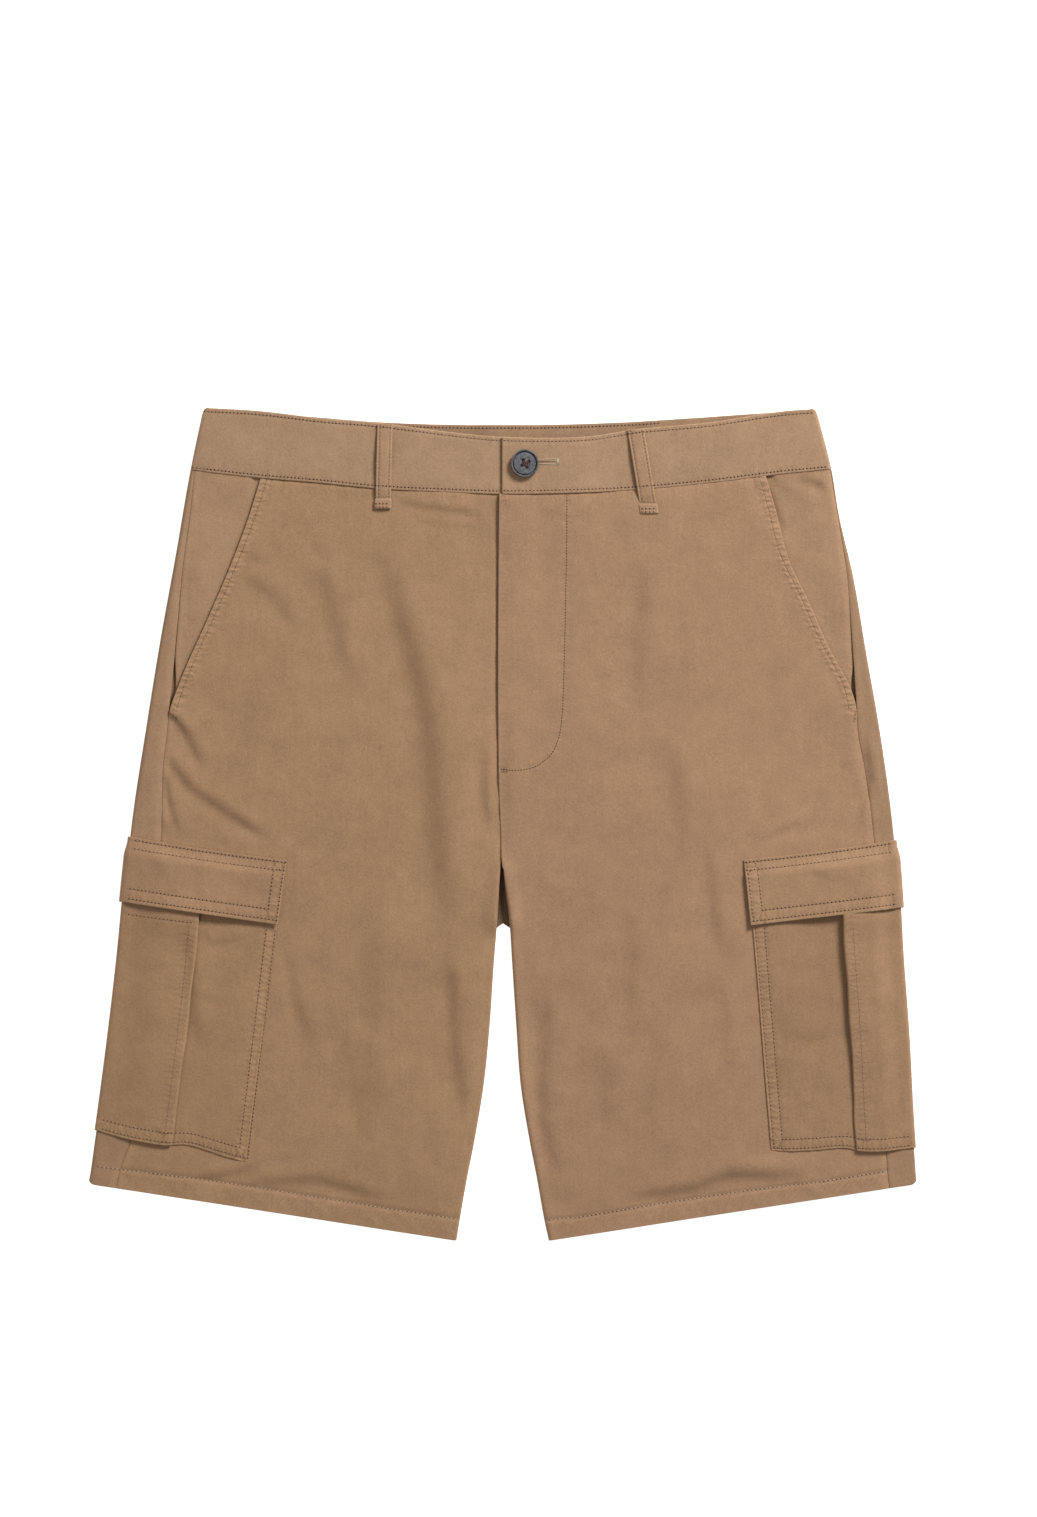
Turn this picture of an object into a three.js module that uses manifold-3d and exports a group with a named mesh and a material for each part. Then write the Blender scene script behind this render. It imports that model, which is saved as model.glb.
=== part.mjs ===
// Cargo shorts laid flat on a table, front side up.
// Millimetres. X runs to the wearer's left, Y up to the waist, Z up from the table.
import * as THREE from 'three';
import { mergeVertices } from 'three/addons/utils/BufferGeometryUtils.js';
import Module from 'manifold-3d';

// Cloth thicknesses and heights above the table
const CLOTH = 1.2; // washed cotton twill, one layer
const BAND = 2.0; // waistband, two layers pressed
const FLAP = 1.6; // pocket flap, two layers pressed
const LOOP = 1.5; // belt loop, folded strip
const GAP = 0.3; // clear space between neighbouring pieces
const BODY_HEIGHT = 5.4; // top of the front panels
const BAND_HEIGHT = 6.2; // top of the front waistband, clear of the back band where it lies over a loop
const HEM_DEPTH = 14.5; // turned-up hem
const EDGE = 0.35; // width of the softened cut edge
const EDGE_KEEP = 0.62; // share of the cloth's thickness left at a cut edge
const LAP_DIP = CLOTH + GAP; // how far a lapped piece passes below its neighbour
const CROTCH_Y = -68.7; // lowest point between the legs
const LAP_FOOT_Y = -30; // where the lapped fly ends and the inseam starts
const SEAT_HALF_GAP = 0.15; // half the space at the centre-back seam

// Heights of the waist seam and the hem at the outer fold, and at the centre or inseam
const ROW_TOP_OUTER_Y = 240.6;
const ROW_HEM_OUTER_Y = -244.6;
const ROW_TOP_FRONT_Y = 224.5;
const ROW_TOP_BACK_Y = 233.6;
const ROW_HEM_INNER_Y = -283.2;
const CROTCH_ROW = 0.5595; // share of a leg's length at which the rows pass the crotch
const SEAM_SAG_ROW = 0.3; // share of a leg's length over which the rows straighten below the waist seam
const LEG_LENGTH = ROW_TOP_OUTER_Y - ROW_HEM_OUTER_Y;
const HEM_TOP_Y = ROW_HEM_OUTER_Y + HEM_DEPTH;

// Seams and edges, each row a point along the garment: y, then the line's distance from the centre
const OUTER_FOLD = {
  right: [
    { y: 284.0, x: 203.7 }, { y: 240.6, x: 212.8 }, { y: 185.3, x: 222.4 }, { y: 125.5, x: 233.2 },
    { y: 66.3, x: 242.8 }, { y: 8.5, x: 251.6 }, { y: -32.0, x: 256.0 }, { y: -92.1, x: 262.1 },
    { y: -139.7, x: 267.6 }, { y: -188.7, x: 274.0 }, { y: -245.0, x: 281.9 },
  ],
  left: [
    { y: 283.2, x: 213.0 }, { y: 241.1, x: 223.7 }, { y: 210.5, x: 228.7 }, { y: 169.7, x: 238.2 },
    { y: 115.3, x: 247.5 }, { y: 64.3, x: 256.4 }, { y: 8.5, x: 264.2 }, { y: -34.0, x: 268.1 },
    { y: -92.1, x: 271.7 }, { y: -143.1, x: 275.4 }, { y: -194.1, x: 278.1 }, { y: -245.0, x: 281.5 },
  ],
};
const INSEAM = {
  right: [
    { y: -30.0, x: 1.6 }, { y: -39.4, x: 2.2 }, { y: -67.7, x: 3.9 }, { y: -95.5, x: 6.1 },
    { y: -136.3, x: 8.8 }, { y: -177.1, x: 12.9 }, { y: -217.9, x: 19.7 }, { y: -238.3, x: 23.8 },
    { y: -268.9, x: 29.2 }, { y: -283.2, x: 31.5 },
  ],
  left: [
    { y: -30.0, x: 0.2 }, { y: -39.4, x: 1.0 }, { y: -67.7, x: 4.3 }, { y: -95.5, x: 6.1 },
    { y: -136.3, x: 8.8 }, { y: -177.1, x: 11.8 }, { y: -217.9, x: 18.4 }, { y: -238.3, x: 22.4 },
    { y: -268.9, x: 27.9 }, { y: -283.2, x: 31.0 },
  ],
};
const FRONT_CENTRE = {
  right: [
    { y: 230, x: -7.5 }, { y: 30, x: -7.5 }, { y: -4, x: -4.0 }, { y: -26, x: 1.4 }, { y: -30, x: 1.6 },
  ],
  left: [
    { y: 230, x: -2.7 }, { y: 197.5, x: -3.1 }, { y: 84.7, x: -3.6 }, { y: 23.5, x: -2.9 },
    { y: -4.4, x: -1.7 }, { y: -26, x: -1.0 }, { y: -30, x: -0.4 },
  ],
};
const SIDE_SEAM = {
  right: [
    { y: 242.0, x: 210.0 }, { y: 213.2, x: 212.8 }, { y: 175.1, x: 217.9 }, { y: 137.0, x: 221.4 },
    { y: 98.9, x: 224.9 }, { y: 77.9, x: 227.2 }, { y: 57.1, x: 229.2 }, { y: 39.8, x: 231.2 },
    { y: -12.0, x: 232.6 }, { y: -214.2, x: 253.0 }, { y: -230.7, x: 259.1 }, { y: -246.5, x: 263.2 },
  ],
  left: [
    { y: 242.0, x: 222.9 }, { y: 213.9, x: 227.4 }, { y: 204.3, x: 229.0 }, { y: 167.9, x: 234.3 },
    { y: 133.2, x: 236.9 }, { y: 90.1, x: 239.9 }, { y: 58.8, x: 241.9 }, { y: 41.3, x: 245.5 },
    { y: -11.2, x: 252.3 }, { y: -235.6, x: 261.4 }, { y: -248.0, x: 262.7 },
  ],
};
const SLANT_EDGE = {
  right: [
    { y: 235.3, x: 165.0 }, { y: 207.1, x: 173.7 }, { y: 175.1, x: 185.8 }, { y: 138.6, x: 201.5 },
    { y: 103.9, x: 217.1 }, { y: 81.3, x: 225.6 }, { y: 74.0, x: 227.6 },
  ],
  left: [
    { y: 236.8, x: 178.8 }, { y: 213.2, x: 185.6 }, { y: 180.1, x: 194.4 }, { y: 150.6, x: 208.3 },
    { y: 119.3, x: 222.2 }, { y: 93.5, x: 236.0 }, { y: 82.9, x: 239.6 }, { y: 74.0, x: 240.9 },
  ],
};
const SLANT_FOOT_Y = 74.0;

// Waistband edges from the wearer's right fold to the left fold, in front and behind
const BAND_EDGE = [
  { x: -212.8, lower: 240.6, upper: 283.9 }, { x: -165, lower: 235.3, upper: 281.2 },
  { x: -124.4, lower: 231.9, upper: 276.4 }, { x: -83.6, lower: 227.9, upper: 273.0 },
  { x: -36, lower: 225.6, upper: 266.9 }, { x: 0, lower: 224.3, upper: 263.5 },
  { x: 55.8, lower: 225.3, upper: 263.6 }, { x: 91.2, lower: 227.3, upper: 268.9 },
  { x: 140.8, lower: 231.9, upper: 273.5 }, { x: 191.8, lower: 238.2, upper: 281.2 },
  { x: 223.7, lower: 241.1, upper: 283.2 },
];
const BAND_BACK_EDGE = [
  { x: -212.8, lower: 240.6, upper: 283.9 }, { x: -165, lower: 239.5, upper: 280.6 },
  { x: -83.6, lower: 236.0, upper: 273.9 }, { x: 0, lower: 233.6, upper: 271.9 },
  { x: 83.6, lower: 236.0, upper: 273.9 }, { x: 170, lower: 239.5, upper: 279.6 },
  { x: 223.7, lower: 241.1, upper: 283.2 },
];
const BAND_SHARES = [0.006, 0.015, 0.5, 0.991, 1]; // points across the band, clear of the panels below it
const BAND_FOLD_DEGREES = [90, 54, 18, -18, -54, -90];
const BAND_STOPS = {
  under: [38, 37.6, 30, 20, 10, 0, -12, -24, -36, -48, -66, -84, -104, -124, -146, -170, -190, -200],
  back: [
    -196, -170, -148, -136, -129, -120.5, -112, -103.5, -95, -88, -60, -24, -16, -8, 0, 8, 16, 24, 60,
    88, 95, 103.5, 112, 120.5, 129, 136, 148, 176, 205,
  ],
  over: [209, 190, 170, 150, 130, 112, 96, 82, 66, 52, 40, 30, 20, 10, 3, -0.3, -0.7],
};
const BAND_LAP = { end: -0.7, underEnd: 38, rise: 2.6, ease: 46 };
const FLY_LAP = {
  rise: 0.8, level: 9, ease: 34,
  waistRise: { right: 1.0, left: 1.8 }, waistFoot: 176, waistTop: 222, waistLevel: 30, waistEase: 84,
};
const BUTTONHOLE = { from: 12.8, to: 37.4, y: 246.4, width: 0.9 };

// Belt loops: the front ones on top by x and y at each end, the back ones below the back panels
const FRONT_LOOP = {
  right: { upperX: -80.2, upperY: 272.4, lowerX: -81.6, lowerY: 214.8, width: 10.4 },
  left: { upperX: 90.2, upperY: 268.6, lowerX: 99.6, lowerY: 211.4, width: 11.4 },
};
const FRONT_LOOP_STOPS = [0.1, 0.2, 0.35, 0.5, 0.65, 0.78, 0.86, 0.93];
const FRONT_LOOP_ARCH = { rise: 1.3, from: 0.06, length: 0.76 };
const FRONT_LOOP_FOOT = { from: 0.78, to: 0.86 }; // share of its length where a loop steps down off the band
const BACK_LOOP = { xs: [-112, 0, 112], width: 10.5, inset: 0.6, reachBelow: 11, clear: 9, ease: 14.5 };
const BACK_LOOP_NAMES = ['right', 'centre', 'left'];
const BACK_LOOP_REACH = { from: 176, to: 212 }; // heights between which the back rises over the loops

// Pocket facings: from below the front panel's slanted edge to the side seam
const FACING = { underlap: 15, footY: 64, rows: 11, shares: [0.12, 0.32, 0.54, 0.76, 0.93], least: 10 };
const FACING_TOP_ROW = 0.0012;

// Cargo pockets: front edge, mouth and foot; the pleat's distance in from the outer fold; the part wrapped
// under the leg
const POCKET = {
  right: {
    mouthY: { front: -41.0, side: -27.5 }, footY: { front: -229.5, side: -208.0 },
    frontX: { mouth: 148.8, foot: 171.8 }, pleatAt: 52, pleatUnder: 18, wrap: 24,
  },
  left: {
    mouthY: { front: -41.0, side: -29.5 }, footY: { front: -221.6, side: -220.0 },
    frontX: { mouth: 166.8, foot: 182.2 }, pleatAt: 38.5, pleatUnder: 17, wrap: 20,
  },
};
const POCKET_PUFF = 0.8; // how far the middle of a pocket stands off its panel
const PLEAT_LEVEL = CLOTH + GAP; // from one layer of the pleat to the next
const FLAP_SHAPE = {
  right: {
    topY: { front: -24.1, side: -8.2 }, footY: { front: -68.2, side: -52.6 },
    frontX: { top: 145.4, foot: 151.4 }, wrap: 27,
  },
  left: {
    topY: { front: -24.0, side: -10.6 }, footY: { front: -68.6, side: -56.6 },
    frontX: { top: 162.5, foot: 167.6 }, wrap: 23,
  },
};
const FLAP_LENGTH = 44;
const FLAP_SAG = 0.9; // how far the seam at a flap's top bows down
const FLAP_CLEAR = 0.25; // more space over the pocket than at the fold
const SIDE_CLEAR = 3.0; // least height of a leg's outer fold
const FOLD_STEPS = 5; // parts in the bend at a leg's outer fold

// How far a leg's underside stands off the table along its outer fold, over the pocket and the flap
const SIDE_RAISE = {
  right: [
    { y: 36, z: 0 }, { y: 4, z: 1.9 }, { y: -16, z: 3.4 }, { y: -60, z: 3.4 }, { y: -84, z: 1.5 },
    { y: -214, z: 1.5 }, { y: -229.5, z: 0 },
  ],
  left: [
    { y: 36, z: 0 }, { y: 2, z: 1.9 }, { y: -18, z: 3.4 }, { y: -64, z: 3.4 }, { y: -88, z: 1.5 },
    { y: -221, z: 1.5 }, { y: -229.5, z: 0 },
  ],
};
const RAISE_REACH = { clear: 7, ease: 26 }; // beyond the pocket's wrapped edge, then down to the table

// Heights at the outer fold of the rows that every panel is drawn on, from the waist seam to the hem
const PANEL_ROWS = {
  right: [
    240.0, 239.6, 212, 184, 156, 128, 98, 66, 36, 4, -16, -29.9, -32.2, -46, -60, -84, -106, -132, -160,
    -188, -214, -229.5, -230.1, -244.2, -244.6,
  ],
  left: [
    240.0, 239.6, 212, 184, 156, 128, 98, 66, 36, 2, -18, -29.9, -32.2, -48, -64, -88, -110, -136, -164,
    -192, -221, -229.5, -230.1, -244.2, -244.6,
  ],
};
const FRONT_SHARES = [0.07, 0.14, 0.21, 0.28, 0.35, 0.42, 0.49, 0.56, 0.63, 0.71, 0.79, 0.86, 0.93];
const BACK_WAIST_XS = [8.5, 23.5, 60, 88.5, 102.5, 121.5, 135.5]; // columns of a back at the waist seam

// Seen across a panel, the inner edge rolls down to meet the other panel at the inseam
const ROLL_SHARES = [0.06, 0.5, 1];
const SEAM_ALLOWANCE = 2.4;

// Largest folds of the cloth: path, depth (a trough is positive), width
const FOLDS = [
  {
    path: [
      [-82.3, 188], [-59.8, 110.5], [-46.2, 56.1], [-44.2, -2.4], [-37.4, -52.7], [-30.6, -107.1],
      [-23.8, -202.3],
    ],
    depth: 1.3,
    width: 17,
  },
  { path: [[-62, 180], [-36, 100], [-24, 40], [-24, -30]], depth: -0.7, width: 18 },
  { path: [[-229.8, 47.3], [-200.6, 20.1], [-173.4, 1.7], [-148.2, -16]], depth: 1.0, width: 13 },
  { path: [[-215, 62], [-188, 40], [-160, 26]], depth: -0.6, width: 14 },
  { path: [[-119, 142.5], [-109.5, 101.7]], depth: 0.7, width: 15 },
  { path: [[94.5, 137.7], [98.6, 83.3]], depth: 0.8, width: 15 },
  { path: [[144.2, -50], [150.5, -100]], depth: 0.8, width: 13 },
  { path: [[36, -143.1], [41, -197.5]], depth: 0.8, width: 13 },
  { path: [[-132.6, -84], [-120, -134.3]], depth: 0.8, width: 13 },
  { path: [[-205, -244], [-144.8, -226.8], [-110, -232]], depth: 0.9, width: 11 },
  { path: [[67.3, -250], [139.4, -238.3], [189.7, -238.3]], depth: 0.9, width: 11 },
  { path: [[60, 30], [75, -60], [80, -150]], depth: -0.6, width: 24 },
  { path: [[-100, -20], [-104, -110], [-110, -180]], depth: -0.6, width: 24 },
];
const FOLD_FADE = { from: 0.12, length: 0.76 }; // part of a sine wave that a fold's depth follows

const BUTTON = {
  x: 14.8, y: 245.2, radius: 9.5, height: 3.4, wellRadius: 7.9, wellDepth: 0.9, wellDish: 0.15,
  sides: 32, holes: 4, holeRadius: 1.05, holeOffset: 2.75, holeSides: 12, turn: 0.28,
};
const COLOURS = {
  front: 0xa17c62, back: 0x99765b, band: 0xa8876b, facing: 0xa6856a, loop: 0xa88468, pocket: 0x9a765e,
  flap: 0x9e7d61, button: 0x64646a,
};
const CLOTH_ROUGHNESS = 0.92;
const BUTTON_ROUGHNESS = 0.45;

const clamp = (value, low, high) => Math.min(high, Math.max(low, value));
const lerp = (a, b, t) => a + (b - a) * t;
const smooth = (from, to, value) => {
  const t = clamp((value - from) / (to - from), 0, 1);
  return t * t * (3 - 2 * t);
};

// Reads a table at one key, easing smoothly through its rows
function read(table, key, at, column) {
  const rows = table[0][key] < table[table.length - 1][key] ? table : [...table].reverse();
  if (at <= rows[0][key]) return rows[0][column];
  const last = rows.length - 1;
  if (at >= rows[last][key]) return rows[last][column];
  let i = 0;
  while (rows[i + 1][key] < at) i += 1;
  const slope = (k) => (rows[k + 1][column] - rows[k][column]) / (rows[k + 1][key] - rows[k][key]);
  const slopeAt = (k) => {
    if (k === 0) return slope(0);
    if (k === last) return slope(last - 1);
    return (slope(k - 1) + slope(k)) / 2;
  };
  const span = rows[i + 1][key] - rows[i][key];
  const t = (at - rows[i][key]) / span;
  const t2 = t * t;
  const t3 = t2 * t;
  const values = (2 * t3 - 3 * t2 + 1) * rows[i][column] + (-2 * t3 + 3 * t2) * rows[i + 1][column];
  const slopes = (t3 - 2 * t2 + t) * slopeAt(i) + (t3 - t2) * slopeAt(i + 1);
  return values + span * slopes;
}

// Reads a table at one height along straight lines between its rows
function readStraight(table, at) {
  if (at >= table[0].y) return table[0].z;
  for (let i = 1; i < table.length; i += 1) {
    const span = table[i - 1].y - table[i].y;
    if (at >= table[i].y) return lerp(table[i].z, table[i - 1].z, (at - table[i].y) / span);
  }
  return table[table.length - 1].z;
}

const signOf = (side) => (side === 'left' ? 1 : -1);
const foldX = (side, y) => read(OUTER_FOLD[side], 'y', y, 'x');
const inseamX = (side, y) => read(INSEAM[side], 'y', y, 'x');
const seamX = (side, y) => read(SIDE_SEAM[side], 'y', y, 'x');
const slantX = (side, y) => read(SLANT_EDGE[side], 'y', y, 'x');
const rowAt = (outerY) => (ROW_TOP_OUTER_Y - outerY) / LEG_LENGTH;

// Height of a row at x from the centre. Rows run across a leg, from 0 at the waist seam to 1 at the hem.
function rowY(side, face, row, x) {
  const outerY = lerp(ROW_TOP_OUTER_Y, ROW_HEM_OUTER_Y, row);
  const topY = face === 'front' ? ROW_TOP_FRONT_Y : ROW_TOP_BACK_Y;
  const innerY = row < CROTCH_ROW
    ? lerp(topY, CROTCH_Y, row / CROTCH_ROW)
    : lerp(CROTCH_Y, ROW_HEM_INNER_Y, (row - CROTCH_ROW) / (1 - CROTCH_ROW));
  const outerX = foldX(side, outerY);
  const innerX = row < CROTCH_ROW ? 0 : inseamX(side, innerY);
  const straight = lerp(innerY, outerY, (x - innerX) / (outerX - innerX));
  const edges = face === 'front' ? BAND_EDGE : BAND_BACK_EDGE;
  const levelSeam = lerp(topY, ROW_TOP_OUTER_Y, x / foldX(side, ROW_TOP_OUTER_Y));
  const seamSag = read(edges, 'x', signOf(side) * x, 'lower') - levelSeam;
  return straight + seamSag * (1 - smooth(0, SEAM_SAG_ROW, row));
}

// Distance from the centre at which a row meets a seam
function meet(side, face, row, seam) {
  let x = seam(lerp(ROW_TOP_OUTER_Y, ROW_HEM_OUTER_Y, row));
  for (let i = 0; i < 6; i += 1) x = seam(rowY(side, face, row, x));
  return x;
}

// Height of a leg's underside at a distance in from the outer fold, on the row that leaves it at foldY
function undersideZ(side, inward, foldY) {
  const clear = POCKET[side].wrap + RAISE_REACH.clear;
  return readStraight(SIDE_RAISE[side], foldY) * (1 - clamp((inward - clear) / RAISE_REACH.ease, 0, 1));
}

// Height of the outer fold's top
function foldTopZ(side, foldY) {
  return Math.max(BODY_HEIGHT, readStraight(SIDE_RAISE[side], foldY) + SIDE_CLEAR);
}

// Radius of the outer fold, and the distance round a quarter of it
const foldRadius = (side, foldY) => (foldTopZ(side, foldY) - undersideZ(side, 0, foldY)) / 2;
const quarterAt = (side, foldY) => foldRadius(side, foldY) * Math.PI / 2;

// Height that the large folds add at a place
function foldHeight(x, y) {
  let height = 0;
  for (const fold of FOLDS) {
    let nearest = Infinity;
    let along = 0;
    const last = fold.path.length - 1;
    for (let i = 0; i < last; i += 1) {
      const [ax, ay] = fold.path[i];
      const [bx, by] = fold.path[i + 1];
      const onPath = ((x - ax) * (bx - ax) + (y - ay) * (by - ay)) / ((bx - ax) ** 2 + (by - ay) ** 2);
      const t = clamp(onPath, 0, 1);
      const distance = Math.hypot(x - lerp(ax, bx, t), y - lerp(ay, by, t));
      if (distance < nearest) {
        nearest = distance;
        along = (i + t) / last;
      }
    }
    const fade = Math.sin(Math.PI * clamp(FOLD_FADE.from + along * FOLD_FADE.length, 0, 1));
    height -= fold.depth * fade * Math.exp(-((nearest / fold.width) ** 2));
  }
  return height;
}

// Height of a leg's top away from the outer fold: level, with the large folds where no pocket lies on it
function topZ(side, x, y, foldY) {
  const inward = foldX(side, y) - x;
  const pocket = POCKET[side];
  const overPocketX = smooth(pocket.frontX.mouth - 24, pocket.frontX.mouth - 4, x);
  const overPocketY = smooth(pocket.footY.front - 22, pocket.footY.front - 6, y) * (1 - smooth(-8, 14, y));
  const centre = y > -20 ? smooth(2, 26, x) : smooth(0, 20, x - inseamX(side, y));
  const belowBand = read(BAND_EDGE, 'x', signOf(side) * x, 'lower') - y;
  const edges = smooth(3, 24, inward) * centre * smooth(0, 14, belowBand);
  const swell = (foldTopZ(side, foldY) - BODY_HEIGHT) * (1 - smooth(26, 74, inward));
  const nearHem = lerp(0.35, 1, smooth(-284, -262, y - 0.14 * (x - 31)));
  const share = edges * (1 - overPocketX * overPocketY) * nearHem;
  return BODY_HEIGHT + swell + foldHeight(signOf(side) * x, y) * share;
}

// A point on the outside of a leg. reach is measured in from the outer fold round the section: over zero on
// the top side, under zero on the underside. foldY is where the point's row leaves the fold, and out moves
// the point off the surface.
function bodyPoint(side, reach, y, foldY, out) {
  const radius = foldRadius(side, foldY);
  const quarter = quarterAt(side, foldY);
  const edgeX = foldX(side, y);
  if (Math.abs(reach) <= quarter) {
    const middle = undersideZ(side, 0, foldY) + radius;
    const x = edgeX - radius + (radius + out) * Math.cos(reach / radius);
    return new THREE.Vector3(signOf(side) * x, y, middle + (radius + out) * Math.sin(reach / radius));
  }
  const inward = radius + Math.abs(reach) - quarter;
  const x = edgeX - inward;
  const z = reach > 0 ? topZ(side, x, y, foldY) + out : undersideZ(side, inward, foldY) - out;
  return new THREE.Vector3(signOf(side) * x, y, z);
}

// Turns a distance in from the outer fold, seen from above, into a distance round the section
function reachAt(side, inward, foldY) {
  const radius = foldRadius(side, foldY);
  if (inward >= radius) return quarterAt(side, foldY) + inward - radius;
  return radius * Math.acos(clamp(1 - inward / radius, -1, 1));
}

// Closed cloth wall from a net of points on its middle surface. thickness may be a function of the two
// indices that gives the distances out and in.
function clothFromNet(net, thickness, flip = false) {
  const rows = net.length;
  const columns = net[0].length;
  const outside = [];
  const inside = [];
  for (let i = 0; i < rows; i += 1) {
    for (let j = 0; j < columns; j += 1) {
      const along = net[Math.min(i + 1, rows - 1)][j].clone().sub(net[Math.max(i - 1, 0)][j]);
      const across = net[i][Math.min(j + 1, columns - 1)].clone().sub(net[i][Math.max(j - 1, 0)]);
      const normal = new THREE.Vector3().crossVectors(across, along).normalize();
      if (flip) normal.negate();
      const onEdge = i === 0 || j === 0 || i === rows - 1 || j === columns - 1;
      const keep = onEdge ? EDGE_KEEP : 1;
      const [out, inner] = typeof thickness === 'function' ? thickness(i, j) : [thickness / 2, thickness / 2];
      outside.push(...net[i][j].clone().addScaledVector(normal, out * keep));
      inside.push(...net[i][j].clone().addScaledVector(normal, -inner * keep));
    }
  }
  const count = rows * columns;
  const at = (i, j) => i * columns + j;
  const triangles = [];
  const quad = (a, b, c, d) => {
    if (flip) triangles.push(a, c, b, a, d, c);
    else triangles.push(a, b, c, a, c, d);
  };
  for (let i = 0; i < rows - 1; i += 1) {
    for (let j = 0; j < columns - 1; j += 1) {
      quad(at(i, j), at(i, j + 1), at(i + 1, j + 1), at(i + 1, j));
      quad(count + at(i, j), count + at(i + 1, j), count + at(i + 1, j + 1), count + at(i, j + 1));
    }
  }
  for (let j = 0; j < columns - 1; j += 1) {
    quad(at(0, j), count + at(0, j), count + at(0, j + 1), at(0, j + 1));
    quad(at(rows - 1, j), at(rows - 1, j + 1), count + at(rows - 1, j + 1), count + at(rows - 1, j));
  }
  const end = columns - 1;
  for (let i = 0; i < rows - 1; i += 1) {
    quad(at(i, 0), at(i + 1, 0), count + at(i + 1, 0), count + at(i, 0));
    quad(at(i, end), count + at(i, end), count + at(i + 1, end), at(i + 1, end));
  }
  const geometry = new THREE.BufferGeometry();
  geometry.setAttribute('position', new THREE.Float32BufferAttribute([...outside, ...inside], 3));
  geometry.setIndex(triangles);
  return geometry;
}

const shorts = new THREE.Group();

function addPiece(name, geometry, color, roughness = CLOTH_ROUGHNESS) {
  const shape = geometry.toNonIndexed();
  shape.computeVertexNormals();
  const mesh = new THREE.Mesh(shape, new THREE.MeshStandardMaterial({ color, roughness }));
  mesh.name = name;
  shorts.add(mesh);
}

// A leg panel's wall is thicker at the turned-up hem, away from the rolled inner edge
const hemWall = (side) => (i, j) => {
  const doubled = PANEL_ROWS[side][i] <= HEM_TOP_Y && j >= ROLL_SHARES.length;
  return [CLOTH / 2, doubled ? CLOTH * 1.5 : CLOTH / 2];
};

// Points of a panel's inner edge: flat at the centre seam, rolled at the inseam. put takes x and a drop.
function rollEdge(innerX, rolled, put) {
  const radius = BODY_HEIGHT / 2;
  const middle = radius - CLOTH / 2;
  for (const share of ROLL_SHARES) {
    const angle = share * Math.PI / 2;
    const x = innerX + lerp(share * SEAM_ALLOWANCE, radius - middle * Math.cos(angle), rolled);
    put(x, rolled * middle * (1 - Math.sin(angle)));
  }
  return innerX + lerp(SEAM_ALLOWANCE, radius, rolled);
}

function makeFront(side) {
  const sign = signOf(side);
  const centreX = (y) => (y > LAP_FOOT_Y ? read(FRONT_CENTRE[side], 'y', y, 'x') : inseamX(side, y));
  const outerEdgeX = (y) => (y > SLANT_FOOT_Y ? slantX(side, y) : seamX(side, y) - 0.2);
  const lapShift = side === 'right' ? FLY_LAP.rise - LAP_DIP : FLY_LAP.rise;
  const waistShift = (x, y) => FLY_LAP.waistRise[side] * smooth(FLY_LAP.waistFoot, FLY_LAP.waistTop, y)
    * (1 - smooth(FLY_LAP.waistLevel, FLY_LAP.waistEase, x));
  const net = PANEL_ROWS[side].map((outerY) => {
    const row = rowAt(outerY);
    const innerX = meet(side, 'front', row, centreX);
    const outerX = meet(side, 'front', row, outerEdgeX);
    const innerY = rowY(side, 'front', row, innerX);
    const rolled = 1 - smooth(-58, -26, innerY);
    const lapped = smooth(-62, -32, innerY);
    const points = [];
    const put = (x, drop) => {
      const y = rowY(side, 'front', row, x);
      const point = bodyPoint(side, reachAt(side, foldX(side, y) - x, outerY), y, outerY, -CLOTH / 2);
      point.z += lapShift * lapped * (1 - smooth(FLY_LAP.level, FLY_LAP.ease, x)) + waistShift(x, y) - drop;
      points.push(point);
    };
    const from = rollEdge(innerX, rolled, put);
    for (const share of FRONT_SHARES) put(lerp(from, outerX, share), 0);
    put(outerX - EDGE, 0);
    put(outerX, 0);
    return points;
  });
  addPiece(`front_panel_${side}`, clothFromNet(net, hemWall(side), sign > 0), COLOURS.front);
}

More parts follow.
